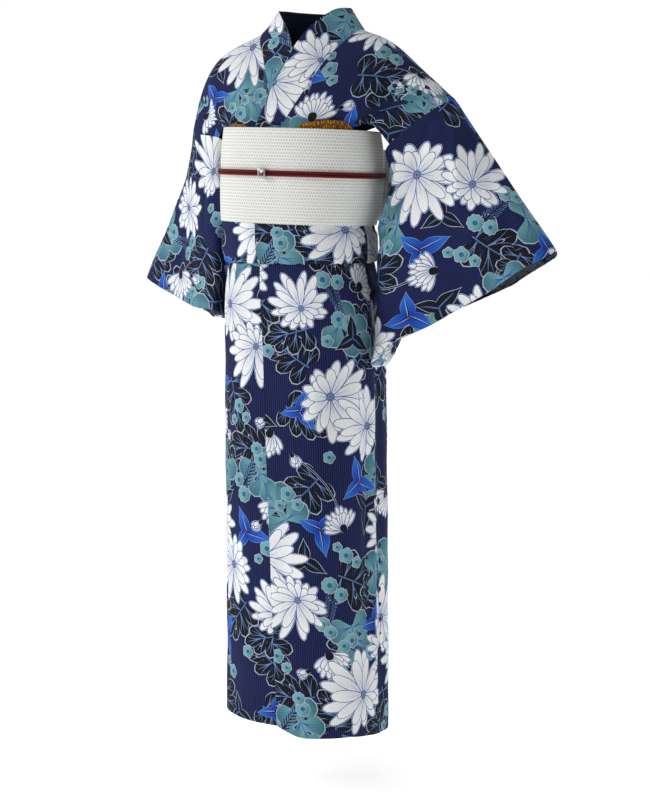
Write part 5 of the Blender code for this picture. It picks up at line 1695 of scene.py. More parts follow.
@dataclass
class LowerGarment:
    """The stretch under the sash, the fold that hangs below it, and the wrapped skirt."""

    under_depth: float = 0.0036
    waist_under_depth: float = 0.0019
    columns: float = 0.011        # width of a column of a form
    # Small folds of the waist: place, drift, width and depth, all from its top to its foot
    waist_folds: tuple = tuple((*fold, -0.345, -0.425) for fold in (
        (-0.33, 0.5, 0.022, 0.0016), (-0.22, -0.4, 0.030, -0.0014), (-0.10, 0.6, 0.020, 0.0014),
        (0.06, 0.3, 0.026, -0.0014), (0.19, -0.5, 0.022, 0.0016), (0.31, 0.4, 0.018, -0.0018),
        (0.40, 0.2, 0.016, 0.0018), (0.57, -0.3, 0.022, -0.0018), (0.72, 0.3, 0.020, 0.0018),
        (0.88, -0.2, 0.022, -0.0016), (-0.88, 0.3, 0.022, 0.0016), (-0.72, -0.3, 0.020, -0.0018),
        (-0.60, 0.2, 0.020, 0.0016),
    ))
    # Small folds of the skirt: place, drift, width, depth, top and foot
    skirt_folds: tuple = (
        (0.335, 0.05, 0.015, 0.0024, -0.43, -1.20), (0.395, 0.03, 0.014, -0.0034, -0.43, -1.20),
        (0.45, 0.02, 0.013, 0.0032, -0.43, -1.28), (0.52, -0.03, 0.014, -0.0032, -0.43, -1.25),
        (0.61, 0.03, 0.014, 0.0024, -0.43, -1.28), (0.66, -0.02, 0.012, -0.0020, -0.46, -1.00),
        (0.76, 0.02, 0.015, 0.0024, -0.43, -1.28), (0.82, -0.02, 0.013, -0.0020, -0.50, -1.20),
        (0.93, 0.02, 0.014, 0.0020, -0.44, -1.28), (-0.94, -0.02, 0.014, -0.0018, -0.43, -1.28),
        (-0.80, 0.03, 0.014, 0.0022, -0.44, -1.28), (-0.76, -0.02, 0.012, -0.0018, -0.48, -1.10),
        (-0.64, 0.02, 0.014, 0.0022, -0.43, -1.28), (-0.54, -0.02, 0.012, -0.0020, -0.46, -1.25),
        (-0.45, 0.02, 0.015, 0.0018, -0.43, -1.20), (-0.30, 0.04, 0.020, -0.0010, -0.60, -1.28),
        (-0.14, 0.03, 0.024, 0.0010, -0.50, -1.10), (0.04, 0.02, 0.022, -0.0010, -0.70, -1.28),
        (0.16, 0.04, 0.020, 0.0012, -0.44, -0.90), (0.25, 0.03, 0.018, -0.0012, -0.60, -1.28),
    )

    def seam(self, height: float) -> float:
        """Share of half girth where the left overlap's seam runs."""
        return float(line_at(OKUMI_LINES, height, 1))

    def edge(self, height: float) -> float:
        """Share of half girth of the left overlap's free edge."""
        return float(line_at(OKUMI_LINES, height, 2))

    def waist_push(self, shares: np.ndarray, height: float) -> np.ndarray:
        """Small folds of the waist."""
        return soft_folds(shares, height, self.waist_folds)

    def skirt_push(self, shares: np.ndarray, height: float) -> np.ndarray:
        """Main and small folds of the skirt."""
        return fold_depth(shares, height) + soft_folds(shares, height, self.skirt_folds)

    def under_push(self, shares: np.ndarray, height: float) -> np.ndarray:
        """Folds of the right front, which sinks under the left one."""
        sink = self.under_depth * smoothstep(RIGHT_SIDE + 0.01, self.edge(HEM) - 0.02, shares)
        return self.skirt_push(shares, height) - sink

    def flat_push(self, shares: np.ndarray, height: float) -> np.ndarray:
        """The right front where it lies flat under the waist."""
        return np.full(len(shares), -self.waist_under_depth)

    def count(self, table: Sequence, first: Callable, last: Callable) -> int:
        """Columns that a panel round the body needs."""
        share = abs(last(table[-1][0]) - first(table[-1][0]))
        return max(int(share * HALF_GIRTH / self.columns), 7)

    def waist(self) -> list[Panel]:
        """The panels under the sash and in the fold below it."""
        places = np.concatenate([np.linspace(0, 4, 14), np.linspace(4, 12, 41)[1:]])
        rows = (
            ("left_front_waist", self.seam, fixed(LEFT_SIDE), (230.0, 470.0)),
            ("left_okumi_waist", self.edge, self.seam, (80.0, 300.0)),
            ("left_back_waist", fixed(LEFT_SIDE), fixed(1.0), (150.0, 640.0)),
            ("right_back_waist", fixed(-1.0), fixed(RIGHT_SIDE), (170.0, 180.0)),
            ("right_front_waist", fixed(RIGHT_SIDE), self.edge, (60.0, 780.0)),
        )
        found = []
        for name, first, last, start in rows:
            columns = self.count(WAIST_SECTIONS, first, last)
            form = tube_form(WAIST_SECTIONS, places, first, last, columns, self.waist_push)
            found.append(Panel(name + "_cloth", trim(form, TUCK, TUCK), start, held=Held.FOLDED))
        under = tube_form(WAIST_SECTIONS, np.linspace(0, 6, 20), self.edge, fixed(UNDER_EDGE), 22,
                          self.flat_push)
        found.append(Panel("right_front_under_cloth", trim(under, SEAM, SEAM), (100.0, 100.0),
                           printed=False, sewn=(False, False), closeness=14.0))
        return found

    def skirt(self) -> list[Panel]:
        """The wrapped skirt: left over right, the backs and the under side."""
        places = np.interp(np.linspace(0, 1, 56), (0.0, 0.12, 1.0), (0.0, 3.6, 8.0))
        left, right = fixed(LEFT_SIDE), fixed(RIGHT_SIDE)
        middle = fixed(UNDER_SEAM)
        rows = (
            ("left_front_skirt", self.seam, left, (225.0, 815.0), (True, True)),
            ("left_okumi_skirt", self.edge, self.seam, (95.0, 260.0), (False, True)),
            ("left_back_skirt", left, fixed(1.0), (200.0, 690.0), (True, True)),
            ("right_back_skirt", fixed(-1.0), right, (160.0, 240.0), (True, True)),
            ("right_front_skirt", right, middle, (190.0, 860.0), (True, True)),
            ("right_okumi_skirt", middle, fixed(UNDER_EDGE), (120.0, 40.0), (True, False)),
        )
        found = []
        for name, first, last, start, sewn in rows:
            beneath = name in ("right_front_skirt", "right_okumi_skirt")
            columns = self.count(SKIRT_SECTIONS, first, last)
            push = self.under_push if beneath else self.skirt_push
            form = tube_form(SKIRT_SECTIONS, places, first, last, columns, push)
            shares = np.linspace(first(HEM), last(HEM), columns)
            heights = line_at(HEM_LINE, shares)
            if beneath:
                heights = heights + UNDER_HEM_RISE * smoothstep(RIGHT_SIDE, RIGHT_SIDE + 0.08, shares)
            form = trim(hemmed(form, heights), TUCK, TUCK)
            found.append(Panel(name + "_cloth", form, start, sewn=sewn))
        return found


def rounded_loops(outer: np.ndarray, normals: np.ndarray, thick: float) -> np.ndarray:
    """Sections of a wall with rounded edges.

    Args:
        outer: Stations by points across the wall's outer face.
        normals: Outward normals of those points.
        thick: The wall's thickness.

    Returns:
        Stations by points round the section.
    """
    half = thick / 2
    first = unit(outer[:, 0] - outer[:, 1])
    last = unit(outer[:, -1] - outer[:, -2])
    middle = outer - normals * half
    middle[:, 0] -= first * half
    middle[:, -1] -= last * half
    arcs = []
    for end, along in ((-1, last), (0, first)):
        arc = []
        for angle in (0.35, 0.8, 1.25, math.pi - 1.25, math.pi - 0.8, math.pi - 0.35):
            turn = math.cos(angle) * normals[:, end] + math.sin(angle) * along
            arc.append(middle[:, end] + turn * half)
        arcs.append(np.stack(arc, axis=1))
    face, back = middle + normals * half, (middle - normals * half)[:, ::-1]
    return np.concatenate([face, arcs[0], back, arcs[1][:, ::-1]], axis=1)


def swept(name: str, loops: np.ndarray, closed: bool, finish: bpy.types.Material) -> bpy.types.Object:
    """A closed piece through sections, with a map of its surface in metres.

    Args:
        name: The piece's name.
        loops: Stations by points round each section.
        closed: Whether the last station meets the first.
        finish: Its material.

    Returns:
        The piece.
    """
    stations, count = loops.shape[:2]
    spans = stations if closed else stations - 1
    ring_steps = np.linalg.norm(np.roll(loops, -1, axis=1) - loops, axis=2).mean(axis=0)
    v = np.concatenate([[0.0], np.cumsum(ring_steps)])
    ahead = np.linalg.norm(np.roll(loops, -1, axis=0) - loops, axis=2).mean(axis=1)
    u = np.concatenate([[0.0], np.cumsum(ahead)])
    faces, corners = [], []
    for i in range(spans):
        for j in range(count):
            a, b = i * count + j, i * count + (j + 1) % count
            ahead_row = ((i + 1) % stations) * count
            d, e = ahead_row + j, ahead_row + (j + 1) % count
            faces.append((a, b, e, d))
            corners += [(u[i], v[j]), (u[i], v[j + 1]), (u[i + 1], v[j + 1]), (u[i + 1], v[j])]
    if not closed:
        for start, flip in ((0, True), ((stations - 1) * count, False)):
            for j in range((count - 1) // 2):
                quad = (start + j, start + j + 1, start + count - 2 - j, start + count - 1 - j)
                faces.append(quad[::-1] if flip else quad)
                corners += [(0.0, 0.0), (0.001, 0.0), (0.001, 0.001), (0.0, 0.001)]
    mesh = bpy.data.meshes.new(name)
    mesh.from_pydata([tuple(p) for p in loops.reshape(-1, 3)], [], faces)
    layer = mesh.uv_layers.new(name="cloth")
    layer.data.foreach_set("uv", np.array(corners).ravel())
    body = bmesh.new()
    body.from_mesh(mesh)
    bmesh.ops.recalc_face_normals(body, faces=body.faces)
    if body.calc_volume(signed=True) < 0:
        bmesh.ops.reverse_faces(body, faces=body.faces)
    body.to_mesh(mesh)
    body.free()
    mesh.shade_smooth()
    mesh.materials.append(finish)
    piece = bpy.data.objects.new(name, mesh)
    bpy.context.scene.collection.objects.link(piece)
    return piece


def declare(piece: bpy.types.Object, node: str) -> None:
    """Say what a piece of the belt stands for, and log it."""
    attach(piece, BODY)
    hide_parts(node)
    LOG.info("%s: %d faces", piece.name, len(piece.data.polygons))


@dataclass
class Sash:
    """The sash: one stiff round of patterned weave, and its bow at the back."""

    height: float = 0.167
    cloth: float = 0.0030
    bow_cloth: float = 0.0022
    bow_half: float = 0.135
    bow_top: float = -0.205
    root_height: float = 0.087
    wing_height: float = 0.134
    knot_width: float = 0.056

    def wrap(self, finish: bpy.types.Material) -> bpy.types.Object:
        """The round of the sash."""
        shares = np.linspace(-1.0, 1.0, 180, endpoint=False)
        heights = np.linspace(-0.177, -0.344, 30)
        grid = np.array([obi_point(float(z), shares) for z in heights])
        normals = grid_normals(grid, closed=True)
        normals *= facing(grid, normals, (0.0, -0.03, -0.26))
        normals[..., 2] *= 0.2
        normals = unit(normals)
        wave = 0.0007 * np.sin(shares * 19 + 0.7)[None, :] * np.sin(np.linspace(0.4, 3.4, 30))[:, None]
        wave -= 0.0011 * np.exp(-((heights - CORD_HEIGHT) / 0.010) ** 2)[:, None]
        grid = grid + normals * wave[..., None]
        loops = rounded_loops(grid.transpose(1, 0, 2), normals.transpose(1, 0, 2), self.cloth)
        piece = swept("obi_wrap_cloth", loops, True, finish)
        self.declare(piece, "obi_wrap", (length_of(grid[15]), self.height), Held.STRETCHED)
        return piece

    def wing(self, side: int, finish: bpy.types.Material) -> bpy.types.Object:
        """One wing of the bow: a length of the sash folded back at its outer end."""
        back = self.back()
        root = self.knot_width / 2 - 0.004
        coarse = np.array([0.0, 0.25, 0.5, 0.75, 0.94, 1.0, 1.06, 1.25, 1.5, 1.75, 2.0])
        turns = np.interp(np.linspace(0, 1, 71), np.linspace(0, 1, 11), coarse)
        rows = []
        for turn in turns:
            out = min(turn, 2.0 - turn)
            reach = root + (self.bow_half - root) * out
            puff = math.sin(math.pi * out) ** 0.8
            layer = float(smoothstep(0.93, 1.07, turn))
            tall = self.wing_height - self.root_height
            tall = self.root_height + tall * float(smoothstep(0.0, 0.75, out))
            top = self.bow_top - 0.0135 * (1 - float(smoothstep(0.0, 0.7, out))) - 0.012 * out ** 2
            gather = 1 - float(smoothstep(0.0, 0.8, out))
            share = np.linspace(0.0, 1.0, 36)
            pleat = 0.0026 * np.cos(share * math.pi * 5) * gather
            pleat += 0.0012 * np.sin(share * 9 + out * 5 + side) * (1 - gather) * out * (1 - out) * 4
            y = back + 0.0112 + layer * 0.017 + (layer - 0.35) * 0.022 * puff
            y = y + pleat * (1.0 if layer > 0.5 else 0.6) - 0.040 * out ** 2.2
            rows.append(np.stack([np.full(36, side * reach), y, top - tall * share], axis=1))
        grid = np.array(rows)
        normals = grid_normals(grid)
        normals *= 1.0 if normals[-4, 18, 1] > 0 else -1.0
        node = "bow_left" if side > 0 else "bow_right"
        piece = swept(node + "_cloth", rounded_loops(grid, normals, self.bow_cloth), False, finish)
        self.declare(piece, node, (length_of(grid[:, 18]), self.wing_height), Held.FOLDED)
        return piece

    def knot(self, finish: bpy.types.Material) -> bpy.types.Object:
        """The loop of sash that holds the bow."""
        back = self.back()
        table = np.array(KNOT_LOOP + KNOT_LOOP[:3])
        rows = np.concatenate([np.arange(13.0)[:, None], table], axis=1)
        sheet = through(rows, np.linspace(1, 11, 60, endpoint=False))
        half = self.knot_width / 2
        x = np.linspace(-half, half, 22)
        grid = np.zeros((60, 22, 3))
        bulge = 1.0 - 0.06 * (x / half) ** 2 + 0.012 * np.cos(x / half * 8.5)
        grid[..., 0] = x
        deep = sheet[:, 1:2]
        grid[..., 1] = back + np.where(deep > 0.024, deep * bulge, deep)
        grid[..., 2] = sheet[:, 0:1]
        normals = grid_normals(grid.transpose(1, 0, 2), closed=True).transpose(1, 0, 2)
        normals *= facing(grid, normals, (0.0, back + 0.024, CORD_HEIGHT))
        normals[..., 0] = 0.0
        piece = swept("bow_knot_cloth", rounded_loops(grid, unit(normals), self.bow_cloth), True, finish)
        self.declare(piece, "bow_knot", (length_of(grid[:, 11]), self.knot_width), Held.FOLDED)
        return piece

    @staticmethod
    def back() -> float:
        """How far back the middle of the sash lies, where the bow sits on it."""
        return float(obi_point(CORD_HEIGHT, np.array([1.0]))[0][1])

    def declare(self, piece: bpy.types.Object, node: str, size: tuple[float, float], held: Held) -> None:
        """Say what a length of sash stands for."""
        declare(piece, node)

    def build(self, finish: bpy.types.Material) -> None:
        """The sash and its bow."""
        self.wrap(finish)
        for side in (1, -1):
            self.wing(side, finish)
        self.knot(finish)


@dataclass
class Scarf:
    """The crepe scarf that peeps out above the sash at both sides of the collar."""

    cloth: float = 0.0028
    foot: float = -0.2000
    rise: float = 0.0060
    tallest: float = 0.034
    section: tuple[float, ...] = (0.0, 0.1306, 0.1128, -0.0030, -0.0360)

    def build(self, finish: bpy.types.Material) -> bpy.types.Object:
        """The scarf, with its soft puffs."""
        shares = np.linspace(-1.0, 1.0, 260, endpoint=False)
        top = line_at(SCARF_TOP, shares) + self.rise * np.exp(-((shares - 0.34) / 0.13) ** 2)
        swell = smoothstep(-0.1885, -0.172, top)
        rows = []
        for level in np.linspace(0.0, 1.0, 14):
            row = ring(self.section, shares, grow=self.cloth)
            row[:, 2] = top * (1 - level) + self.foot * level
            away = unit(row[:, :2] - np.array(self.section[3:]))
            puff = 0.0016 * np.sin(math.pi * min(level * 1.6, 1.0)) * swell
            crinkle = 0.0007 * np.sin(shares * 75 + 6 * level) * swell
            puff += crinkle * np.sin(math.pi * min(level * 1.3, 1.0))
            row[:, :2] += away * puff[:, None]
            rows.append(row)
        grid = np.array(rows)
        normals = grid_normals(grid, closed=True)
        normals *= facing(grid, normals, (0.0, -0.03, -0.19))
        normals[..., 2] *= 0.3
        loops = rounded_loops(grid.transpose(1, 0, 2), unit(normals).transpose(1, 0, 2), self.cloth)
        piece = swept("obiage_cloth", loops, True, finish)
        declare(piece, "obiage")
        girth, tall = length_of(grid[5]), float(np.mean(top - self.foot))
        return piece


@dataclass
class FlatCord:
    """The flat braided cord round the sash."""

    width: float = 0.0100
    roundness: float = 0.55

    def build(self, finish: bpy.types.Material) -> bpy.types.Object:
        """The cord's round."""
        shares = np.linspace(-1.0, 1.0, 240, endpoint=False)
        half = self.width / 2
        angle = np.linspace(0, 2 * math.pi, 20, endpoint=False)
        rise = half * np.sign(np.sin(angle)) * np.abs(np.sin(angle)) ** self.roundness
        out = CORD_DEPTH / 2 * (1 + np.sign(np.cos(angle)) * np.abs(np.cos(angle)) ** self.roundness)
        rows = [obi_point(CORD_HEIGHT + float(dz) * 0.99, shares, grow=SEAM + float(grow))
                for dz, grow in zip(rise, out)]
        piece = swept("obijime_cord", np.array(rows).transpose(1, 0, 2), True, finish)
        declare(piece, "obijime")
        return piece


@dataclass
class Clasp:
    """The small square clasp on the cord, with its dark, red and white facets."""

    x: float = -0.017
    size: float = 0.0150
    depth: float = 0.0050
    bevel: float = 0.0012
    lip: float = 0.0016

    def build(self, finishes: Sequence[bpy.types.Material]) -> bpy.types.Object:
        """Model the clasp and seat it on the cord.

        Args:
            finishes: Silver, dark, red and white.

        Returns:
            The clasp.
        """
        spots = obi_point(CORD_HEIGHT, np.linspace(-0.08, 0.0, 41))
        seat = spots[int(np.argmin(np.abs(spots[:, 0] - self.x)))]
        turn = math.atan2(spots[-1][1] - spots[0][1], spots[-1][0] - spots[0][0])
        back = CORD_DEPTH + 2 * SEAM + 0.0004
        bpy.ops.object.select_all(action="DESELECT")
        bpy.ops.mesh.primitive_cube_add(size=1.0, location=(0, 0, 0))
        piece = bpy.context.active_object
        piece.name = piece.data.name = "obidome_clasp"
        bpy.ops.object.mode_set(mode="EDIT")
        bpy.ops.transform.resize(value=(self.size, self.depth, self.size))
        bpy.ops.transform.translate(value=(0, -(back + self.depth / 2), 0))
        bpy.ops.mesh.select_all(action="SELECT")
        bpy.ops.mesh.bevel(offset=self.bevel, segments=3, affect="EDGES")
        self.select(piece, lambda c, n: n.y < -0.999)
        bpy.ops.mesh.inset(thickness=0.0013, depth=0.0)
        bpy.ops.mesh.inset(thickness=0.0003, depth=-0.0005)
        bpy.ops.mesh.poke()
        bpy.ops.object.mode_set(mode="OBJECT")
        for finish in finishes:
            piece.data.materials.append(finish)
        self.paint(piece, back)
        self.add_lips(piece, back)
        c, s = math.cos(turn), math.sin(turn)
        x, y, z = (float(value) for value in seat)
        piece.data.transform(Matrix(((c, -s, 0, x), (s, c, 0, y), (0, 0, 1, z), (0, 0, 0, 1))))
        piece.data.shade_smooth()
        bpy.ops.object.shade_smooth_by_angle(angle=math.radians(20))
        declare(piece, "obidome")
        return piece

    def select(self, piece: bpy.types.Object, test: Callable[[Vector, Vector], bool]) -> None:
        """Select the faces whose centre and normal pass a test."""
        body = bmesh.from_edit_mesh(piece.data)
        bpy.ops.mesh.select_all(action="DESELECT")
        for face in body.faces:
            face.select_set(test(face.calc_center_median(), face.normal))
        bmesh.update_edit_mesh(piece.data)

    def paint(self, piece: bpy.types.Object, back: float) -> None:
        """Lift the middle of the facets and give each its enamel."""
        front = -(back + self.depth)
        mesh = piece.data
        for vert in mesh.vertices:
            if abs(vert.co.x) < 1e-5 and abs(vert.co.z) < 1e-5 and vert.co.y < front + 0.001:
                vert.co.y = front - 0.0003
                vert.co.x, vert.co.z = 0.0008, -0.0006
        for face in mesh.polygons:
            centre = face.center
            facet = max(abs(centre.x), abs(centre.z)) < self.size * 0.34
            if facet and centre.y < front + 0.0012 and face.normal.y < -0.5:
                angle = math.degrees(math.atan2(centre.z, centre.x)) % 360
                face.material_index = 3 if 45 <= angle < 135 else 2 if 135 <= angle < 225 else 1

    def add_lips(self, piece: bpy.types.Object, back: float) -> None:
        """The two lips that hold the cord's edges."""
        half = self.size / 2
        tall = back - 4 * SEAM + 0.001
        bpy.context.view_layer.objects.active = piece
        bpy.ops.object.mode_set(mode="EDIT")
        for sign in (-1, 1):
            bpy.ops.mesh.select_all(action="DESELECT")
            bpy.ops.mesh.primitive_cube_add(size=1.0, location=(0, 0, 0))
            bpy.ops.transform.resize(value=(self.size - self.lip, tall, self.lip),
                                     center_override=(0, 0, 0))
            bpy.ops.transform.translate(value=(0, -(4 * SEAM + tall / 2), sign * (half - 0.0009)))
            bpy.ops.mesh.bevel(offset=0.0003, segments=2, affect="EDGES")
        bpy.ops.object.mode_set(mode="OBJECT")


class Nodes:
    """A short hand for building a material's nodes."""

    def __init__(self, name: str) -> None:
        """Start a material with its shader.

        Args:
            name: The material's name.
        """
        self.material = bpy.data.materials.new(name)
        self.material.use_nodes = True
        self.tree = self.material.node_tree
        self.shader = self.tree.nodes["Principled BSDF"]

    def add(self, kind: str, values: Optional[dict] = None, **settings: object) -> bpy.types.Node:
        """Add a node, with its settings and its socket values or links."""
        node = self.tree.nodes.new(kind)
        for key, value in settings.items():
            setattr(node, key, value)
        for key, value in (values or {}).items():
            self.put(node.inputs[key], value)
        return node

    def put(self, socket: bpy.types.NodeSocket, value: object) -> None:
        """Give a socket a value or a link."""
        if isinstance(value, bpy.types.NodeSocket):
            self.tree.links.new(value, socket)
        else:
            socket.default_value = value

    def sum(self, operation: str, a: object, b: object = 0.0, c: object = 0.0) -> bpy.types.NodeSocket:
        """A number worked out from up to three others."""
        node = self.add("ShaderNodeMath", operation=operation)
        for socket, value in zip(node.inputs, (a, b, c)):
            self.put(socket, value)
        return node.outputs[0]

    def wave(self, value: object, period: float) -> bpy.types.NodeSocket:
        """A sine of a value, with a given period."""
        return self.sum("SINE", self.sum("MULTIPLY", value, 2 * math.pi / period))

    def ramp(self, value: object, low: float, high: float, start: float = 0.0,
             end: float = 1.0) -> bpy.types.NodeSocket:
        """A smooth change between two numbers as a value goes from low to high."""
        values = {"Value": value, "From Min": low, "From Max": high, "To Min": start, "To Max": end}
        return self.add("ShaderNodeMapRange", values, interpolation_type="SMOOTHSTEP").outputs[0]

    def blend(self, share: object, a: object, b: object, mode: str = "MIX") -> bpy.types.NodeSocket:
        """A colour between two others."""
        node = self.add("ShaderNodeMix", data_type="RGBA", blend_type=mode)
        self.put(node.inputs[0], share)
        self.put(node.inputs[6], a)
        self.put(node.inputs[7], b)
        return node.outputs[2]

    def noise(self, scale: float, detail: float) -> bpy.types.NodeSocket:
        """Soft irregular values over the piece."""
        spot = self.add("ShaderNodeTexCoord").outputs["Object"]
        values = {"Vector": spot, "Scale": scale, "Detail": detail}
        return self.add("ShaderNodeTexNoise", values).outputs[0]

    def map_of(self, layer: str) -> tuple[bpy.types.NodeSocket, bpy.types.NodeSocket]:
        """Places across and along the piece's own map."""
        spot = self.add("ShaderNodeUVMap", uv_map=layer).outputs[0]
        parts = self.add("ShaderNodeSeparateXYZ", {"Vector": spot})
        return parts.outputs[0], parts.outputs[1]

    def bump(self, height: object, distance: float, strength: float,
             below: object = None) -> bpy.types.NodeSocket:
        """A bumped normal."""
        node = self.add("ShaderNodeBump", {"Height": height, "Strength": strength, "Distance": distance})
        if below is not None:
            self.put(node.inputs["Normal"], below)
        return node.outputs[0]

    def finish(self, colour: object, normal: object, roughness: float, sheen: float = 0.0,
               metallic: float = 0.0) -> bpy.types.Material:
        """Link the colour and the normal, and set the shader's plain values."""
        specular = 0.5 if metallic or roughness < 0.5 else 0.10
        values = {"Base Color": colour, "Roughness": roughness, "Metallic": metallic,
                  "Sheen Weight": sheen, "Sheen Roughness": 0.5, "Specular IOR Level": specular}
        if normal is not None:
            values["Normal"] = normal
        for key, value in values.items():
            self.put(self.shader.inputs[key], value)
        return self.material


@dataclass(frozen=True)
class PrintedCotton:
    """Matt cotton with lengthwise ribs, dyed in the print's colours, with painted light along the rib
    tops.
    """

    rib: float = 0.0040
    thread: float = 0.00055
    roughness: float = 0.86
    sheen: float = 0.02

    def material(self) -> bpy.types.Material:
        """Build the material."""
        n = Nodes("printed_cotton")
        u, v = n.map_of("bolt")
        dye = n.add("ShaderNodeVertexColor", layer_name="print").outputs["Color"]
        wander = n.sum("MULTIPLY", n.noise(40.0, 2.0), 0.0010)
        rib = n.ramp(n.wave(n.sum("ADD", u, wander), self.rib), 0.55, 1.0)
        weave = n.sum("MULTIPLY", n.wave(u, self.thread), n.wave(v, self.thread))
        slub = n.noise(260.0, 4.0)
        cloudy = n.ramp(n.noise(9.0, 3.0), 0.3, 0.7, 0.93, 1.05)
        shade = n.sum("MULTIPLY", cloudy, n.ramp(slub, 0.2, 0.8, 0.94, 1.05))
        # Painted light: the rib tops are lightened by up to a tenth, over the random variation of the
        # dye.
        shade = n.sum("MULTIPLY", shade, n.sum("MULTIPLY_ADD", rib, 0.10, 0.985))
        rib_light_and_tone = n.add("ShaderNodeCombineColor", {"Red": shade, "Green": shade, "Blue": shade}).outputs[0]
        colour = n.blend(1.0, dye, rib_light_and_tone, "MULTIPLY")
        # Painted highlight: the rib tops are blended a little towards a pale blue.
        colour = n.blend(n.sum("MULTIPLY", rib, 0.055), colour, (0.50, 0.56, 0.68, 1.0))
        normal = n.bump(weave, 0.00010, 0.35)
        normal = n.bump(slub, 0.00020, 0.4, normal)
        normal = n.bump(rib, 0.00045, 0.8, normal)
        return n.finish(colour, normal, self.roughness, self.sheen)


@dataclass(frozen=True)
class WaffleWeave:
    """Off-white sash cloth with staggered hollows, whose middles are painted darker as painted shade."""

    across: float = 0.0050
    down: float = 0.0056
    thread: float = 0.0007
    light: tuple[float, float, float] = linear(232, 233, 229)
    # painted shade in the middle of each dimple
    hollow_shade: tuple[float, float, float] = linear(196, 199, 195)
    roughness: float = 0.78

    def material(self) -> bpy.types.Material:
        """Build the material."""
        n = Nodes("waffle_weave")
        u, v = n.map_of("cloth")
        row = n.sum("DIVIDE", v, self.down)
        odd = n.sum("MULTIPLY", n.sum("MODULO", n.sum("FLOOR", row), 2.0), 0.5)
        x = n.sum("SUBTRACT", n.sum("FRACT", n.sum("ADD", n.sum("DIVIDE", u, self.across), odd)), 0.5)
        y = n.sum("SUBTRACT", n.sum("FRACT", row), 0.5)
        away = n.sum("SQRT", n.sum("ADD", n.sum("MULTIPLY", x, x), n.sum("MULTIPLY", y, y)))
        ridge = n.ramp(away, 0.16, 0.46)
        thread = n.sum("MULTIPLY", n.wave(u, self.thread), n.wave(v, self.thread))
        slub = n.noise(180.0, 4.0)
        # Painted shade: each dimple darkens towards its middle, mixed with random slub variation.
        hollow_shade_and_slub = n.sum("ADD", n.sum("MULTIPLY", ridge, 0.86), n.sum("MULTIPLY", slub, 0.28))
        colour = n.blend(n.ramp(hollow_shade_and_slub, 0.1, 0.95), self.hollow_shade + (1.0,), self.light + (1.0,))
        normal = n.bump(thread, 0.00012, 0.5)
        normal = n.bump(slub, 0.00025, 0.4, normal)
        normal = n.bump(ridge, 0.0009, 0.75, normal)
        return n.finish(colour, normal, self.roughness, 0.08)


@dataclass(frozen=True)
class HoneycombCrepe:
    """Mustard crepe in small raised cells, painted darker towards the cell edges as painted shade."""

    cell: float = 0.0042
    light: tuple[float, float, float] = linear(178, 122, 22)
    # painted shade: the crepe's colour in shadow, laid in the creases between the cells
    deep: tuple[float, float, float] = linear(84, 50, 9)

    def material(self) -> bpy.types.Material:
        """Build the material."""
        n = Nodes("honeycomb_crepe")
        spot = n.add("ShaderNodeUVMap", uv_map="cloth").outputs[0]
        values = {"Vector": spot, "Scale": 1.0 / self.cell, "Randomness": 0.55}
        cells = n.add("ShaderNodeTexVoronoi", values, feature="DISTANCE_TO_EDGE").outputs["Distance"]
        hill = n.ramp(cells, 0.02, 0.30)
        grain = n.noise(900.0, 3.0)
        # Painted shade towards each cell's edge, mixed with random grain.
        cell_shade_and_grain = n.sum("MULTIPLY", hill, n.ramp(grain, 0.2, 0.8, 0.8, 1.1))
        colour = n.blend(cell_shade_and_grain, self.deep + (1.0,), self.light + (1.0,))
        normal = n.bump(grain, 0.0002, 0.5)
        normal = n.bump(hill, 0.0012, 0.8, normal)
        return n.finish(colour, normal, 0.72, 0.15)


@dataclass(frozen=True)
class BraidedSilk:
    """Dark red braid with a black middle, in slanting strands, with painted shade in the grooves between
    them.
    """

    strand: float = 0.0016
    girth: float = 0.0245
    edge: tuple[float, float, float] = linear(128, 14, 30)
    middle: tuple[float, float, float] = linear(12, 9, 11)

    def material(self) -> bpy.types.Material:
        """Build the material."""
        n = Nodes("braided_silk")
        u, v = n.map_of("cloth")
        turn = n.sum("DIVIDE", v, self.girth)
        side = n.sum("ABSOLUTE", n.wave(turn, 1.0))
        slant = n.sum("ADD", u, n.sum("MULTIPLY", side, 0.004))
        strand = n.wave(slant, self.strand)
        place = n.ramp(side, 0.14, 0.30)
        grain = n.noise(1400.0, 2.0)
        colour = n.blend(place, self.middle + (1.0,), self.edge + (1.0,))
        # Painted shade: the grooves between the strands are darkened towards black.
        colour = n.blend(n.ramp(strand, -1.0, 0.2, 0.45, 0.0), colour, (0.004, 0.002, 0.003, 1.0))
        normal = n.bump(grain, 0.0001, 0.3)
        normal = n.bump(strand, 0.0004, 0.8, normal)
        return n.finish(colour, normal, 0.55, 0.04)


@dataclass(frozen=True)
class Enamel:
    """A hard glossy finish of the clasp."""

    name: str
    colour: tuple[float, float, float]
    metallic: float
    roughness: float

    def material(self) -> bpy.types.Material:
        """Build the material."""
        n = Nodes(self.name)
        scratch = n.noise(700.0, 5.0)
        wear = n.ramp(scratch, 0.35, 0.75, 0.0, 0.25)
        worn = n.blend(wear, self.colour + (1.0,), (0.5, 0.5, 0.5, 1.0))
        material = n.finish(worn, n.bump(scratch, 0.00006, 0.25), self.roughness, 0.0, self.metallic)
        matt = n.ramp(scratch, 0.2, 0.8, self.roughness - 0.05, self.roughness + 0.15)
        n.put(n.shader.inputs["Roughness"], matt)
        return material


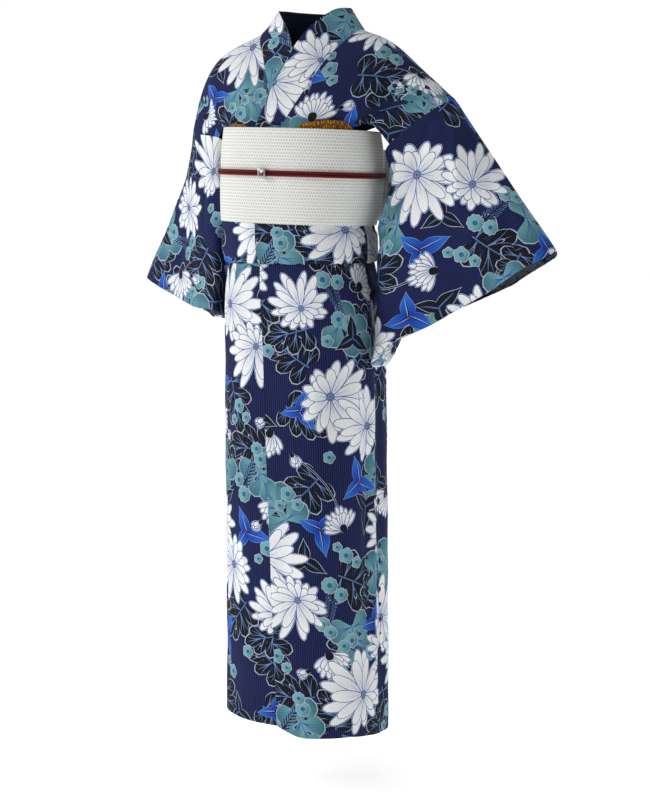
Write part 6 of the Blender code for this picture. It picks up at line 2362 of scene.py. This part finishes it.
@dataclass
class Studio:
    """White floor, soft lights and the camera."""

    floor: float = -1.400
    yaw: float = 25.0
    distance: float = 3.05
    eye_height: float = -0.285
    pitch: float = 7.25
    lens: float = 74.25
    aim_offset: float = 12.5 / 1650.0    # swings the view until the garment stands off its middle
    glow: float = 0.66
    sky: float = 0.40
    backdrop: float = 1.02

    def camera(self) -> None:
        """Stand the camera where the photograph was taken from."""
        turn, fall = math.radians(self.yaw), math.radians(self.pitch)
        forward = Vector((-math.sin(turn), math.cos(turn), 0.0))
        right = Vector((math.cos(turn), math.sin(turn), 0.0))
        eye = -forward * self.distance + Vector((0.0, 0.0, self.eye_height))
        swing = math.atan(self.aim_offset * math.cos(fall))
        ahead = forward * math.cos(swing) + right * math.sin(swing)
        side = right * math.cos(swing) - forward * math.sin(swing)
        look = ahead * math.cos(fall) - Vector((0, 0, 1)) * math.sin(fall)
        up = Vector((0, 0, 1)) * math.cos(fall) + ahead * math.sin(fall)
        data = bpy.data.cameras.new("view")
        data.lens = self.lens
        data.sensor_width = 36.0
        data.clip_end = 60.0
        camera = bpy.data.objects.new("view", data)
        columns = (side, up, -look, eye)
        camera.matrix_world = Matrix([[c[k] for c in columns] for k in range(3)] + [[0, 0, 0, 1]])
        bpy.context.scene.collection.objects.link(camera)
        bpy.context.scene.camera = camera

    def lamp(self, name: str, place: Sequence[float], size: float, power: float,
             colour: Sequence[float]) -> None:
        """Hang a square soft light that shines at the middle of the garment."""
        data = bpy.data.lights.new(name, "AREA")
        data.shape = "RECTANGLE"
        data.size, data.size_y = size, size * 1.3
        data.energy = power
        data.color = tuple(colour)
        lamp = bpy.data.objects.new(name, data)
        aim = Vector((0.0, 0.0, -0.60)) - Vector(place)
        turn = aim.to_track_quat("-Z", "Y").to_matrix().to_4x4()
        lamp.matrix_world = Matrix.Translation(Vector(place)) @ turn
        bpy.context.scene.collection.objects.link(lamp)

    def build(self) -> None:
        """Set up the world, the floor, the lights and the camera."""
        world = bpy.data.worlds.new("white_studio")
        world.use_nodes = True
        sky = world.node_tree.nodes["Background"]
        sky.inputs["Color"].default_value = (1.0, 1.0, 1.0, 1.0)
        ray = world.node_tree.nodes.new("ShaderNodeLightPath")
        choice = world.node_tree.nodes.new("ShaderNodeMapRange")
        choice.inputs["To Min"].default_value = self.sky
        choice.inputs["To Max"].default_value = self.backdrop
        world.node_tree.links.new(ray.outputs["Is Camera Ray"], choice.inputs["Value"])
        world.node_tree.links.new(choice.outputs[0], sky.inputs["Strength"])
        bpy.context.scene.world = world
        bpy.ops.object.select_all(action="DESELECT")
        bpy.ops.mesh.primitive_plane_add(size=40.0, location=(0.0, 0.0, self.floor))
        ground = bpy.context.active_object
        ground.name = "studio_floor"
        n = Nodes("studio_paper")
        ground.data.materials.append(n.finish((0.90, 0.90, 0.905, 1.0), None, 0.9))
        n.shader.inputs["Emission Color"].default_value = (1.0, 1.0, 1.0, 1.0)
        n.shader.inputs["Emission Strength"].default_value = self.glow
        self.lamp("key", (-2.4, -1.9, 1.0), 0.9, 58.0, (1.0, 0.985, 0.965))
        self.lamp("right_back", (2.4, 1.4, 0.6), 1.2, 10.0, (0.97, 0.98, 1.0))
        bpy.context.scene.view_settings.view_transform = "Standard"
        self.camera()


def main() -> None:
    """Build the studio, the garment and its belt."""
    logging.basicConfig(level=logging.INFO, format="%(name)s: %(message)s")
    Studio().build()
    bolt = Bolt()
    bolt.draw()
    LOG.info("print: %d shapes", len(bolt.shapes))
    cotton = PrintedCotton().material()
    lower = LowerGarment()
    for panel in UpperGarment().panels() + lower.waist() + lower.skirt():
        panel.build(bolt, cotton)
    Sash().build(WaffleWeave().material())
    Scarf().build(HoneycombCrepe().material())
    FlatCord().build(BraidedSilk().material())
    finishes = (
        Enamel("satin_silver", linear(168, 168, 174), 1.0, 0.28),
        Enamel("dark_enamel", linear(14, 14, 16), 0.0, 0.18),
        Enamel("red_enamel", linear(170, 18, 34), 0.0, 0.18),
        Enamel("white_enamel", linear(236, 236, 236), 0.0, 0.22),
    )
    Clasp().build([finish.material() for finish in finishes])


if __name__ == "__main__":
    main()
